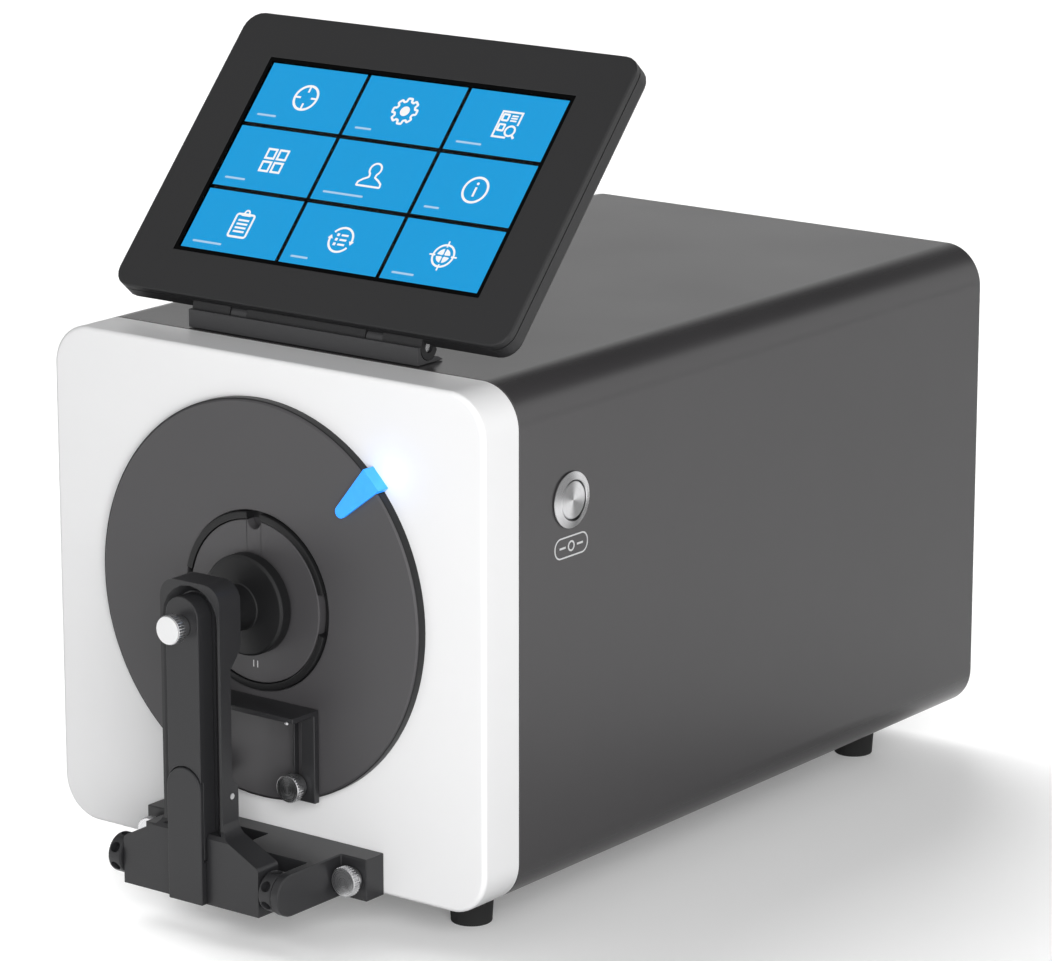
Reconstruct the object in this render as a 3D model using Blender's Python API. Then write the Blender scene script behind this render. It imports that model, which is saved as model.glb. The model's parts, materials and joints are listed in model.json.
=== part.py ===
"""Benchtop spectrophotometer with a tilting touch screen and a front sample clamp.

Metres, +Z up.  X runs across the instrument, -Y is its front, and the origin is
the middle of its footprint on the bench.  Depths are measured back from the
front face of the white panel, and heights up from the bench.
"""
import math

import bmesh
import bpy

# Clearances
GAP = 0.0003                    # between pieces that touch
RUN = 0.0004                    # round pieces that turn or slide
OVERRUN = 0.002                 # how far a cutter passes its work

# Body: white panel, wrap cover and rear panel
BODY_WIDTH = 0.215
BODY_HEIGHT = 0.2040
BODY_DEPTH = 0.3457
BODY_CORNER = 0.0170
BENCH_GAP = 0.0172               # from the bench to the underside of the body
PANEL_DEPTH = 0.0215
PANEL_WALL = 0.003
PANEL_EDGE = 0.0018
COVER_WALL = 0.0015
REAR_WALL = 0.002
REAR_INSET = 0.0015

# Feet
FOOT_RADIUS_TOP = 0.0092
FOOT_RADIUS = 0.0082
FOOT_EDGE = 0.0015
FOOT_IN = 0.0345                # feet in from the sides of the body
FOOT_FRONT = 0.036
FOOT_BACK = 0.0397              # rear feet ahead of the back of the body

# Chassis inside the body
TRAY_WALL = 0.002
TRAY_LIP = 0.012
BRIDGE_DROP = 0.0395            # top of the bridge below the port's axis
BRIDGE_IN = 0.0066              # from the main board
BRIDGE_WALL = 0.002
BRIDGE_LENGTH = 0.100

# Round port disc on the panel, its seat and the aperture plate
PORT_SHARE = 8 / 15             # height of the port's axis on the body
DISC_SHARE = 797 / 2040         # radius as a share of the body's height
SPIGOT_IN = 0.0197              # the spigot's radius in from the rim
DISC_THICK = 0.0044
DISC_EDGE = 0.0012
SEAT_RADIUS = 0.0358
SEAT_DEPTH = 0.0034
DISC_BORE = 0.024
SPIGOT_CLEAR = 0.0007
RING_WIDTH = 0.0029
RING_PROUD = 0.0016             # ring ahead of the face of the disc
RING_CHAMFER = 0.0006
RING_FLOOR = 0.0008
FINGER_CUT = 0.017
PLATE_RADIUS = 0.0323
PLATE_PROUD = 0.0013            # plate ahead of the face of the disc
PLATE_SINK = 0.0005
PLATE_EDGE = 0.0004
APERTURE = 0.011
NOTCH_RADIUS = 0.0034
APERTURE_SINK = 0.0015

# Status light guide over the rim of the disc
GUIDE_ANGLE = 44.4              # degrees up from +X
GUIDE_REACH = 0.0212            # in from the rim of the disc
GUIDE_TIP = 0.0025
GUIDE_HALF = 0.0052
GUIDE_THICK = 0.0017
GUIDE_HOOK = 0.0024
LED_SIZE = 0.004

# Integrating sphere and what looks into it
SPHERE_SHARE = 77 / 204         # inner radius as a share of the body's height
SPHERE_WALL = 0.004
FLANGE_WIDTH = 0.005
FLANGE_THICK = 0.004
NECK_RADIUS = 0.013
NECK_WALL = 0.003
BOSS_RADIUS = 0.040
BOSS_STAND = 0.001
PORT_OFFSET = 0.0216            # eight degrees off the axis at the far wall
PORT_RADIUS = 0.008
PORT_LEAD = 7.0                 # keeps the ports' corners off the sphere's own edges
FIBRE_RADIUS = 0.003
LAMP_OFFSET = 0.052
LAMP_PORT = 0.009
STAND_HALF = 0.035
STAND_THICK = 0.012
SHUTTER_ARM = 0.024
SHUTTER_DISC = 0.0098
SHUTTER_HUB = 0.0045
SHUTTER_THICK = 0.0015
SHUTTER_PIN = 0.0015
SERVO_WIDTH = 0.014
SERVO_LENGTH = 0.022
SERVO_RISE = 0.007
LENS_RADIUS = 0.0095
LENS_LENGTH = 0.020
OPTICS_LEFT = 0.0175            # from the viewing axis
OPTICS_IN = 0.0055              # from the side of the bridge
OPTICS_DEPTH = 0.076
OPTICS_HEIGHT = 0.062
OPTICS_EDGE = 0.003
LAMP_IN = 0.0034                # from the shutter's servo
LAMP_DEPTH = 0.064
LAMP_SNOUT = 0.0075

# Electronics
SUPPLY_WIDTH = 0.090
SUPPLY_DEPTH = 0.070
SUPPLY_HEIGHT = 0.034
BOARD_THICK = 0.0016
BOARD_LENGTH = 0.120
BOARD_HEIGHT = 0.110
BOARD_IN = 0.010                # from the cover's inner wall
CHIP_SIZE = 0.022
CHIP_THICK = 0.003

# Rear connectors
CONNECTOR_HEIGHT = 0.062
INLET_IN = 0.0355               # from the side of the body
INLET_TO_SWITCH = 0.032
SWITCH_TO_USB = 0.030
USB_TO_SERIAL = 0.036
INLET_RADIUS = 0.006
INLET_BORE = 0.0034
INLET_FLANGE = 0.0085
CONNECTOR_DEPTH = 0.012
FLANGE_PROUD = 0.0012
SWITCH_WIDTH = 0.0135
SWITCH_TALL = 0.0195
SWITCH_RIM = 0.0015
ROCKER_TILT = 9.0               # degrees of throw each way from the middle
ROCKER_PIN = 0.0012
USB_WIDTH = 0.013
USB_TALL = 0.0126
SERIAL_WIDTH = 0.025
SERIAL_TALL = 0.0105
SOCKET_WALL = 0.001
VENT_COUNT = 9
VENT_LENGTH = 0.060
VENT_WIDTH = 0.0024
VENT_PITCH = 0.007
VENT_HEIGHT = 0.139

# Test button on the right side
BUTTON_BACK = 0.0537
BUTTON_DROP = 0.0500            # below the top of the body
BUTTON_RADIUS = 0.0111
BUTTON_PROUD = 0.0018
BUTTON_SLOPE = 0.0020
BUTTON_BARREL = 0.0095
BUTTON_CAP = 0.0074
BUTTON_LENGTH = 0.018
BUTTON_NUT = 0.0125
BUTTON_NUT_THICK = 0.003
BUTTON_TRAVEL = 0.0015
BUTTON_DOME = 0.0006

# Touch screen, drawn upright about its hinge axis and then leaned back
SCREEN_TILT = 41.85             # degrees back from upright
SCREEN_WIDTH = 0.1965
SCREEN_HEIGHT = 0.1314
SCREEN_THICK = 0.010
SCREEN_CORNER = 0.008
SCREEN_FRONT_THICK = 0.0032
SCREEN_WALL = 0.002
SCREEN_BACK_EDGE = 0.0016
SCREEN_FRONT_EDGE = 0.0005
SCREEN_BACK_OFFSET = 0.0005     # back face behind the hinge axis
SCREEN_FOOT = 0.0001            # bottom face above the hinge axis
DISPLAY_IN = 0.02205            # in from the screen's sides
DISPLAY_SHARE = 3 / 5           # height to width
DISPLAY_RISE = 0.0652           # middle of the display above the bottom face
GLASS_THICK = 0.0012
GLASS_SINK = 0.0003
LCD_MARGIN = 0.0050
LCD_THICK = 0.0034
DRIVER_WIDTH = 0.090
DRIVER_HEIGHT = 0.050
DRIVER_THICK = 0.0014

# Screen hinge
HINGE_BACK = 0.0310             # axis behind the panel's front face
HINGE_RISE = 0.0065             # axis above the top of the body
HINGE_HALF = 0.0574
BARREL_RADIUS = 0.0049
CRADLE_RADIUS = 0.0053
HINGE_PIN = 0.0020
BARREL_WEB = 0.0055             # front of the web that joins barrel to screen
HINGE_WALL = 0.0071             # front of the base ahead of the axis
HINGE_LIP = 0.0009
HINGE_TAIL = 0.0082
LUG_PLACE = 0.034
LUG_WIDTH = 0.008
LUG_RADIUS = 0.0046
LUG_WEB = 0.0020

# Clamp bracket on the panel
BRACKET_LEFT = 0.0531
BRACKET_RIGHT = 0.0587
BRACKET_DEPTH = 0.011
BRACKET_HEIGHT = 0.0169
PLATFORM_LEFT = 0.0403
PLATFORM_DEPTH = 0.0265
LINK_THICK = 0.0038
LINK_OUT = 0.0461
LINK_SKIN = 0.0010              # metal left over the axle's end
AXLE_AHEAD = 0.0405             # axle ahead of the panel's front face
AXLE_HEIGHT = 0.0259
AXLE_RADIUS = 0.0025
KNUCKLE_HALF = 0.0075
KNUCKLE_RADIUS = 0.0054
WINDOW_HALF = 0.008
WINDOW_FRONT = 0.021
WINDOW_BACK = 0.009

# Capstan nuts on the axle
NUT_RADIUS = 0.0079
NUT_WIDTH = 0.0062
NUT_EDGE = 0.0008
NUT_HOLES = 6
NUT_HOLE = 0.0021
NUT_HOLE_DEPTH = 0.0034

# Clamp arm: foot, upright and head in one casting
ARM_HALF = 0.0149
ARM_FACE = 0.0031               # rim of the upright ahead of the axle
ARM_BACK = 0.0027               # back of the upright behind the axle
HEAD_RISE = 0.0162              # top of the arm above the port's axis
ARM_CORNER = 0.0075
HEAD_BACK = 0.0090
HEAD_DROP = 0.0092              # foot of the thick head below the port's axis
HEAD_SLOPE = 0.008
ROOT_BACK = 0.0062
ROOT_TOP = 0.0618
ROOT_SLOPE = 0.004
SHOE_HALF = 0.0342
SHOE_FACE = 0.0055
SHOE_BACK = 0.0065
SHOE_FOOT = 0.0157
SHOE_SIDE = 0.0357              # height of the shoe at its ends
SHOE_TOP = 0.0423               # height of the shoe at the upright
SHOE_CORNER = 0.0022
SHOE_FILLET = 0.006
CHANNEL_HALF = 0.0136
CHANNEL_MID = 0.0112
CHANNEL_FLOOR_HALF = 0.0094
CHANNEL_EDGE = 0.0014           # channel in from the top of the arm
CHANNEL_FLOOR = 0.0006          # channel floor behind the axle
SPINE_HALF = 0.0081
SPINE_EDGE = 0.0033             # top of the bar below the channel's
SPINE_FACE = 0.0079
SPINE_STEP = 0.0015
SPINE_FOOT = 0.0335
COVER_HALF = 0.0085
COVER_TOP = 0.0699
COVER_FACE = 0.0086
COVER_THICK = 0.0018
COVER_ROOT = 0.0028             # thickness where it runs through the shoe
COVER_ROOT_TOP = 0.0328
COVER_FOOT = 0.0158
DOWEL_RADIUS = 0.0012
DOWEL_HEIGHT = 0.0584
DOWEL_BACK = 0.0027

# Sprung plunger, its pad and its pull knob
NECK_OUTER = 0.009
NECK_INNER = 0.0064
NECK_SEAT = 0.0016              # how far the neck enters the head at rest
NECK_END = 0.0150               # neck meets the bell, ahead of the panel's face
BELL_RADIUS = 0.020
BELL_SHOULDER = 0.0134
BELL_BACK = 0.0076
BELL_EDGE = 0.0008
BELL_DISH = 0.0012
PAD_RADIUS = 0.0185
PAD_THICK = 0.0013
PLUNGER_STROKE = 0.005
PLUNGER_FLOOR = 0.0016          # metal left ahead of the plunger's bore
ROD_RADIUS = 0.002
SPRING_RADIUS = 0.0054
SPRING_WIRE = 0.0009

# Knurled heads
KNOB_RADIUS = 0.0058
KNOB_HEAD = 0.0046
KNOB_COLLAR_RADIUS = 0.0044
KNOB_COLLAR = 0.0034
KNOB_EDGE = 0.0004
CAP_THICK = 0.0006
SCREW_RADIUS = 0.0060
SCREW_HEAD = 0.0036
SCREW_COLLAR_RADIUS = 0.0046
SCREW_COLLAR = 0.0028
SCREW_SHANK = 0.0018
SCREW_GRIP = 0.006
SCREW_FROM_END = 0.0063         # bracket screws, in from the bracket's ends

# Height-adjustable sample shelf under the port
SHELF_HALF = 0.0305
SHELF_DROP = 0.0383             # ledge below the port's axis
SHELF_LIFT = 0.0040             # foot of the legs above the disc's lowest point
SHELF_REACH = 0.0155
SHELF_PLATE = 0.0027
SHELF_THICK = 0.0021
LEG_INNER = 0.0194              # inner side of the shelf's legs
SLOT_PLACE = 0.0222
SLOT_WIDTH = 0.0034
SLOT_UP = 0.0026                # slot above the foot of the leg
SLOT_DOWN = 0.0044              # slot below the ledge
SHELF_SCREW_UP = 0.0062         # screw above the foot of the leg
SHELF_SHANK = 0.0013
SHELF_GRIP = 0.0062
SHELF_HEAD_RADIUS = 0.0057

# How finely round forms are faceted
PLAIN = 12
COARSE = 16
ROUND = 24
FINE = 48
CORNER_STEPS = 6

# Places worked out from the sizes above
KNOB_FRONT = AXLE_AHEAD + SPINE_FACE + GAP + KNOB_COLLAR + KNOB_HEAD
FRONT = (KNOB_FRONT - BODY_DEPTH) / 2
BODY_TOP = BENCH_GAP + BODY_HEIGHT
BODY_MID = BENCH_GAP + BODY_HEIGHT / 2
FOOT_OUT = BODY_WIDTH / 2 - FOOT_IN
PORT_HEIGHT = BENCH_GAP + BODY_HEIGHT * PORT_SHARE
DISC_RADIUS = BODY_HEIGHT * DISC_SHARE
BRIDGE_TOP = PORT_HEIGHT - BRIDGE_DROP
FOOT_REAR = BODY_DEPTH - FOOT_BACK
PANEL_OPENING = DISC_RADIUS - SPIGOT_IN
GUIDE_INNER = DISC_RADIUS - GUIDE_REACH
ARM_TOP = PORT_HEIGHT + HEAD_RISE
HEAD_FOOT = PORT_HEIGHT - HEAD_DROP
CHANNEL_TOP = ARM_TOP - CHANNEL_EDGE
SPINE_TOP = CHANNEL_TOP - SPINE_EDGE
SHELF_TOP = PORT_HEIGHT - SHELF_DROP
SHELF_FOOT = PORT_HEIGHT - DISC_RADIUS + SHELF_LIFT
SLOT_FOOT = SHELF_FOOT + SLOT_UP
SLOT_TOP = SHELF_TOP - SLOT_DOWN
SHELF_SCREW_HEIGHT = SHELF_FOOT + SHELF_SCREW_UP
DISPLAY_WIDTH = SCREEN_WIDTH - 2 * DISPLAY_IN
DISPLAY_HEIGHT = DISPLAY_WIDTH * DISPLAY_SHARE
INLET_PLACE = INLET_IN - BODY_WIDTH / 2
SWITCH_PLACE = INLET_PLACE + INLET_TO_SWITCH
USB_PLACE = SWITCH_PLACE + SWITCH_TO_USB
SERIAL_PLACE = USB_PLACE + USB_TO_SERIAL
BUTTON_HEIGHT = BODY_TOP - BUTTON_DROP
BOARD_FACE = BODY_WIDTH / 2 - BODY_CORNER - TRAY_WALL - GAP
BRIDGE_HALF = BOARD_FACE - BOARD_THICK - BRIDGE_IN
LAMP_WIDTH = BRIDGE_HALF - PORT_OFFSET - SERVO_WIDTH / 2 - LAMP_IN
SPHERE_INNER = BODY_HEIGHT * SPHERE_SHARE
SPHERE_OUTER = SPHERE_INNER + SPHERE_WALL
SPHERE_BACK = PANEL_WALL + GAP + SPHERE_OUTER
SPHERE_REAR = SPHERE_BACK + SPHERE_OUTER + BOSS_STAND
BRIDGE_FRONT = SPHERE_REAR + GAP + SHUTTER_THICK + RUN
TRAY_BASE = BENCH_GAP + PANEL_WALL + GAP
TRAY_TOP = TRAY_BASE + TRAY_WALL
REAR_OUTSIDE = BODY_DEPTH - REAR_INSET
REAR_INSIDE = REAR_OUTSIDE - REAR_WALL
SEAT_FLOOR = -(DISC_THICK - SEAT_DEPTH)
COLOURS = {
    "white paint": ((0.88, 0.88, 0.88), 0.35, 0.0),
    "charcoal paint": ((0.115, 0.112, 0.116), 0.42, 0.1),
    "dark anodised": ((0.085, 0.083, 0.086), 0.45, 0.3),
    "screen plastic": ((0.045, 0.045, 0.046), 0.5, 0.0),
    "glass": ((0.01, 0.01, 0.012), 0.1, 0.0),
    "lcd": ((0.02, 0.33, 0.72), 0.3, 0.0),
    "black metal": ((0.045, 0.045, 0.048), 0.45, 0.4),
    "bright steel": ((0.62, 0.62, 0.63), 0.28, 1.0),
    "white plastic": ((0.85, 0.85, 0.85), 0.4, 0.0),
    "blue light": ((0.05, 0.45, 0.95), 0.25, 0.0),
    "rubber": ((0.02, 0.02, 0.02), 0.8, 0.0),
    "sphere": ((0.80, 0.80, 0.78), 0.6, 0.2),
    "sheet steel": ((0.50, 0.51, 0.52), 0.4, 0.9),
    "circuit board": ((0.03, 0.22, 0.10), 0.5, 0.0),
}


def clear_scene():
    for old in list(bpy.data.objects):
        bpy.data.objects.remove(old)


def finish_of(name):
    """The material of this name, made the first time that it is asked for."""
    if name in bpy.data.materials:
        return bpy.data.materials[name]
    colour, roughness, metallic = COLOURS[name]
    material = bpy.data.materials.new(name)
    material.use_nodes = True
    shader = material.node_tree.nodes["Principled BSDF"]
    shader.inputs["Base Color"].default_value = (*colour, 1.0)
    shader.inputs["Roughness"].default_value = roughness
    shader.inputs["Metallic"].default_value = metallic
    return material


def axis_frame(name, place, parent=None, tilt=0.0):
    """An empty that carries pieces; moving pieces hang on one at their joint's axis."""
    empty = bpy.data.objects.new(name, None)
    empty.location = place
    empty.rotation_euler = (tilt, 0.0, 0.0)
    empty.parent = parent
    bpy.context.collection.objects.link(empty)
    return empty


def solid(name, shape, finish, parent, place=(0.0, 0.0, 0.0)):
    """Turn a finished bmesh into a named object with its own material."""
    bmesh.ops.recalc_face_normals(shape, faces=shape.faces)
    data = bpy.data.meshes.new(name)
    shape.to_mesh(data)
    shape.free()
    data.materials.append(finish_of(finish))
    data.shade_smooth()
    data.set_sharp_from_angle(angle=math.radians(32))
    piece = bpy.data.objects.new(name, data)
    piece.location = place
    piece.parent = parent
    bpy.context.collection.objects.link(piece)
    return piece


def combine(target, tool, operation):
    """Cut or join with a helper shape that stays in the file as a hidden wire guide."""
    data = bpy.data.meshes.new("guide of " + target.name)
    bmesh.ops.recalc_face_normals(tool, faces=tool.faces)
    tool.to_mesh(data)
    tool.free()
    guide = bpy.data.objects.new("guide of " + target.name, data)
    guide.location = target.location
    guide.parent = target.parent
    guide.hide_render = True
    guide.display_type = "WIRE"
    bpy.context.collection.objects.link(guide)
    change = target.modifiers.new(operation.lower(), "BOOLEAN")
    change.operation = operation
    change.object = guide


def cut(target, *tools):
    for tool in tools:
        combine(target, tool, "DIFFERENCE")


def join(target, *tools):
    for tool in tools:
        combine(target, tool, "UNION")


def place_flat(points, axis, along):
    """Lift an outline into space, square to an axis: X takes (y, z), Y (x, z), Z (x, y)."""
    if axis == "X":
        return [(along, u, v) for u, v in points]
    if axis == "Y":
        return [(u, along, v) for u, v in points]
    return [(u, v, along) for u, v in points]


def loft(loops, ring=False, into=None):
    """Skin a row of loops, and cap its ends or join the last loop to the first."""
    shape = into or bmesh.new()
    rows = [[shape.verts.new(point) for point in loop] for loop in loops]
    pairs = list(zip(rows, rows[1:]))
    if ring:
        pairs.append((rows[-1], rows[0]))
    for near, far in pairs:
        for i in range(len(near)):
            j = (i + 1) % len(near)
            shape.faces.new((near[i], near[j], far[j], far[i]))
    if not ring:
        shape.faces.new(rows[0])
        shape.faces.new(rows[-1])
    return shape


def arc(centre, radius, start, end, steps):
    """Points along an arc, in degrees."""
    turn = (end - start) / steps
    angles = [math.radians(start + turn * i) for i in range(steps + 1)]
    return [(centre[0] + radius * math.cos(a), centre[1] + radius * math.sin(a)) for a in angles]


def circle(radius, steps, centre=(0.0, 0.0), lead=0.0):
    """A closed circle whose first point stands lead degrees round from the first axis."""
    return arc(centre, radius, lead, lead + 360.0, steps)[:-1]


def turned(profile, axis, steps=ROUND, centre=(0.0, 0.0), ring=False, into=None):
    """Revolve (radius, along) points; without ring, flat faces close the two ends."""
    loops = [place_flat(circle(radius, steps, centre), axis, along) for radius, along in profile]
    return loft(loops, ring, into)


def bar(outline, axis, start, end, into=None):
    """Extrude an outline along an axis."""
    return loft([place_flat(outline, axis, start), place_flat(outline, axis, end)], into=into)


def rectangle(left, right, low, high):
    return [(left, low), (right, low), (right, high), (left, high)]


def rounded(width, height, radius, centre=(0.0, 0.0), steps=CORNER_STEPS):
    """A rectangle with round corners, counted so that matching loops have equal points."""
    across = width / 2 - radius
    up = height / 2 - radius
    points = []
    for turn, (side_x, side_y) in enumerate(((1, 1), (-1, 1), (-1, -1), (1, -1))):
        middle = (centre[0] + side_x * across, centre[1] + side_y * up)
        points += arc(middle, radius, 90.0 * turn, 90.0 * turn + 90.0, steps)
    return points


def round_hole(radius, centre, steps=CORNER_STEPS):
    """A circle with as many points as a rounded rectangle, quarter by quarter."""
    points = []
    share = 90.0 / (steps + 1)
    for turn in range(4):
        first = 90.0 * turn + share / 2
        points += arc(centre, radius, first, first + 90.0 - share, steps)
    return points


def hexagon(inner):
    """A hexagon of this inner radius, with as many points as a round hole."""
    points = []
    for i in range(ROUND):
        turn = 360.0 * i / ROUND
        reach = inner / math.cos(math.radians(turn % 60.0 - 30.0))
        points.append((reach * math.cos(math.radians(turn)), reach * math.sin(math.radians(turn))))
    return points


def chamfered_block(left, right, front, back, low, high, edge):
    """A box whose upright edges are cut at 45 degrees."""
    outline = [(left + edge, front), (right - edge, front), (right, front + edge),
               (right, back - edge), (right - edge, back), (left + edge, back),
               (left, back - edge), (left, front + edge)]
    return bar(outline, "Z", low, high)


# Housing


def front_panel(body):
    """White moulded front with a round opening behind the port disc."""
    middle = (0.0, BODY_MID)
    port = (0.0, PORT_HEIGHT)
    slant = math.sqrt(0.5)

    def outline(inset):
        return rounded(BODY_WIDTH - 2 * inset, BODY_HEIGHT - 2 * inset, BODY_CORNER - inset, middle)

    rows = [(round_hole(PANEL_OPENING, port), 0.0),
            (outline(PANEL_EDGE), 0.0),
            (outline(PANEL_EDGE * (1 - slant)), PANEL_EDGE * (1 - slant)),
            (outline(0.0), PANEL_EDGE),
            (outline(0.0), PANEL_DEPTH),
            (outline(PANEL_WALL), PANEL_DEPTH),
            (outline(PANEL_WALL), PANEL_WALL),
            (round_hole(PANEL_OPENING, port), PANEL_WALL)]
    shape = loft([place_flat(points, "Y", along) for points, along in rows], ring=True)
    solid("front_panel", shape, "white paint", body)


def wrap_cover(body):
    """Dark sheet cover that wraps all four sides behind the panel."""
    middle = (0.0, BODY_MID)
    outer = rounded(BODY_WIDTH, BODY_HEIGHT, BODY_CORNER, middle)
    inner = rounded(BODY_WIDTH - 2 * COVER_WALL, BODY_HEIGHT - 2 * COVER_WALL,
                    BODY_CORNER - COVER_WALL, middle)
    front = PANEL_DEPTH + GAP
    rows = [(outer, front), (outer, BODY_DEPTH), (inner, BODY_DEPTH), (inner, front)]
    shape = loft([place_flat(points, "Y", along) for points, along in rows], ring=True)
    cover = solid("wrap_cover", shape, "charcoal paint", body)
    centre = (BUTTON_BACK, BUTTON_HEIGHT)
    wall = BODY_WIDTH / 2
    cut(cover, bar(circle(BUTTON_BARREL + GAP, ROUND, centre), "X",
                   wall - COVER_WALL - OVERRUN, wall + OVERRUN))


def rear_panel(body):
    """Back plate inside the cover, with openings for the connectors and vent slots."""
    clear = COVER_WALL + GAP
    outline = rounded(BODY_WIDTH - 2 * clear, BODY_HEIGHT - 2 * clear,
                      BODY_CORNER - clear, (0.0, BODY_MID))
    plate = solid("rear_panel", bar(outline, "Y", REAR_INSIDE, REAR_OUTSIDE),
                  "charcoal paint", body)
    start = REAR_INSIDE - OVERRUN
    end = REAR_OUTSIDE + OVERRUN
    holes = bar(circle(INLET_RADIUS + GAP, ROUND, (INLET_PLACE, CONNECTOR_HEIGHT)), "Y", start, end)
    for place, width, tall in ((SWITCH_PLACE, SWITCH_WIDTH, SWITCH_TALL),
                               (USB_PLACE, USB_WIDTH, USB_TALL),
                               (SERIAL_PLACE, SERIAL_WIDTH, SERIAL_TALL)):
        half = width / 2 + GAP
        rise = tall / 2 + GAP
        opening = rectangle(place - half, place + half,
                            CONNECTOR_HEIGHT - rise, CONNECTOR_HEIGHT + rise)
        bar(opening, "Y", start, end, into=holes)
    for i in range(VENT_COUNT):
        middle = (0.0, VENT_HEIGHT + VENT_PITCH * (i - (VENT_COUNT - 1) / 2))
        slot = rounded(VENT_LENGTH, VENT_WIDTH, VENT_WIDTH / 2, middle, steps=1)
        bar(slot, "Y", start, end, into=holes)
    cut(plate, holes)


def feet(body):
    """Four tapered rubber feet under the cover."""
    top = BENCH_GAP - GAP
    profile = [(FOOT_RADIUS - FOOT_EDGE, 0.0), (FOOT_RADIUS - FOOT_EDGE / 4, FOOT_EDGE / 3),
               (FOOT_RADIUS, FOOT_EDGE), (FOOT_RADIUS_TOP, top)]
    for end, back in (("front", FOOT_FRONT), ("rear", FOOT_REAR)):
        for side, across in (("left", -FOOT_OUT), ("right", FOOT_OUT)):
            solid(f"foot_{end}_{side}", turned(profile, "Z", COARSE), "rubber", body,
                  (across, back, 0.0))


def chassis_tray(body):
    """Folded sheet floor that the inner assemblies stand on."""
    half = BODY_WIDTH / 2 - BODY_CORNER
    lip = half - TRAY_WALL
    outline = [(-half, TRAY_BASE), (half, TRAY_BASE), (half, TRAY_BASE + TRAY_LIP),
               (lip, TRAY_BASE + TRAY_LIP), (lip, TRAY_TOP), (-lip, TRAY_TOP),
               (-lip, TRAY_BASE + TRAY_LIP), (-half, TRAY_BASE + TRAY_LIP)]
    solid("chassis_tray", bar(outline, "Y", PANEL_WALL + GAP, REAR_INSIDE - GAP),
          "sheet steel", body)


def optics_bridge(body):
    """Folded bench over the power supply that carries the optics behind the sphere."""
    half = BRIDGE_HALF
    inner = half - BRIDGE_WALL
    foot = TRAY_TOP + GAP
    under = BRIDGE_TOP - BRIDGE_WALL
    outline = [(-half, foot), (-inner, foot), (-inner, under), (inner, under),
               (inner, foot), (half, foot), (half, BRIDGE_TOP), (-half, BRIDGE_TOP)]
    solid("optics_bridge", bar(outline, "Y", BRIDGE_FRONT, BRIDGE_FRONT + BRIDGE_LENGTH),
          "sheet steel", body)


# Port, sphere and optics


def port_disc(body):
    """Large dark disc on the panel, with the round seat of the aperture plate."""
    bore = DISC_BORE
    spigot = PANEL_OPENING - SPIGOT_CLEAR
    profile = [(spigot, PANEL_WALL), (spigot, -GAP), (DISC_RADIUS, -GAP),
               (DISC_RADIUS, -(DISC_THICK - DISC_EDGE)), (DISC_RADIUS - DISC_EDGE, -DISC_THICK),
               (SEAT_RADIUS, -DISC_THICK), (SEAT_RADIUS, SEAT_FLOOR), (bore, SEAT_FLOOR),
               (bore, PANEL_WALL)]
    disc = solid("port_disc", turned(profile, "Y", FINE, ring=True), "dark anodised", body,
                 (0.0, 0.0, PORT_HEIGHT))
    drop = SHELF_SCREW_HEIGHT - PORT_HEIGHT
    for side in (-1, 1):
        hole = circle(SHELF_SHANK + RUN, COARSE, (side * SLOT_PLACE, drop))
        cut(disc, bar(hole, "Y", -DISC_THICK - OVERRUN, PANEL_WALL + OVERRUN))


def aperture_ring(body):
    """Lock ring in the seat, with finger cut-outs at its sides and the notch's gap on top."""
    outer = SEAT_RADIUS - GAP
    inner = outer - RING_WIDTH
    face = -(DISC_THICK + RING_PROUD)
    floor = SEAT_FLOOR - GAP
    profile = [(outer, floor), (outer, face + RING_CHAMFER), (outer - RING_CHAMFER, face),
               (inner + RING_CHAMFER, face), (inner, face + RING_CHAMFER), (inner, floor)]
    ring = solid("aperture_ring", turned(profile, "Y", FINE, ring=True), "black metal", body,
                 (0.0, 0.0, PORT_HEIGHT))
    half = FINGER_CUT / 2
    for side in (-1, 1):
        near, far = sorted((side * (inner - OVERRUN), side * (outer + OVERRUN)))
        cut(ring, bar(rectangle(near, far, -half, half), "Y", face - OVERRUN, floor - RING_FLOOR))
    gap = rectangle(-NOTCH_RADIUS, NOTCH_RADIUS, inner - OVERRUN, outer + OVERRUN)
    cut(ring, bar(gap, "Y", face - OVERRUN, floor - RING_FLOOR))


def aperture_plate(body):
    """Swappable measuring plate with an index notch; it turns to unlock."""
    back = SEAT_FLOOR - RUN
    face = -(DISC_THICK + PLATE_PROUD)
    hole = APERTURE / 2
    profile = [(PLATE_RADIUS, back), (PLATE_RADIUS, face + PLATE_EDGE),
               (PLATE_RADIUS - PLATE_EDGE, face), (hole, face), (hole, face + PLATE_SINK),
               (hole + APERTURE_SINK, back)]
    plate = solid("aperture_plate", turned(profile, "Y", FINE, ring=True), "dark anodised", body,
                  (0.0, 0.0, PORT_HEIGHT))
    notch = circle(NOTCH_RADIUS, COARSE, (0.0, PLATE_RADIUS))
    cut(plate, bar(notch, "Y", face - OVERRUN, back + OVERRUN))


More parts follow.
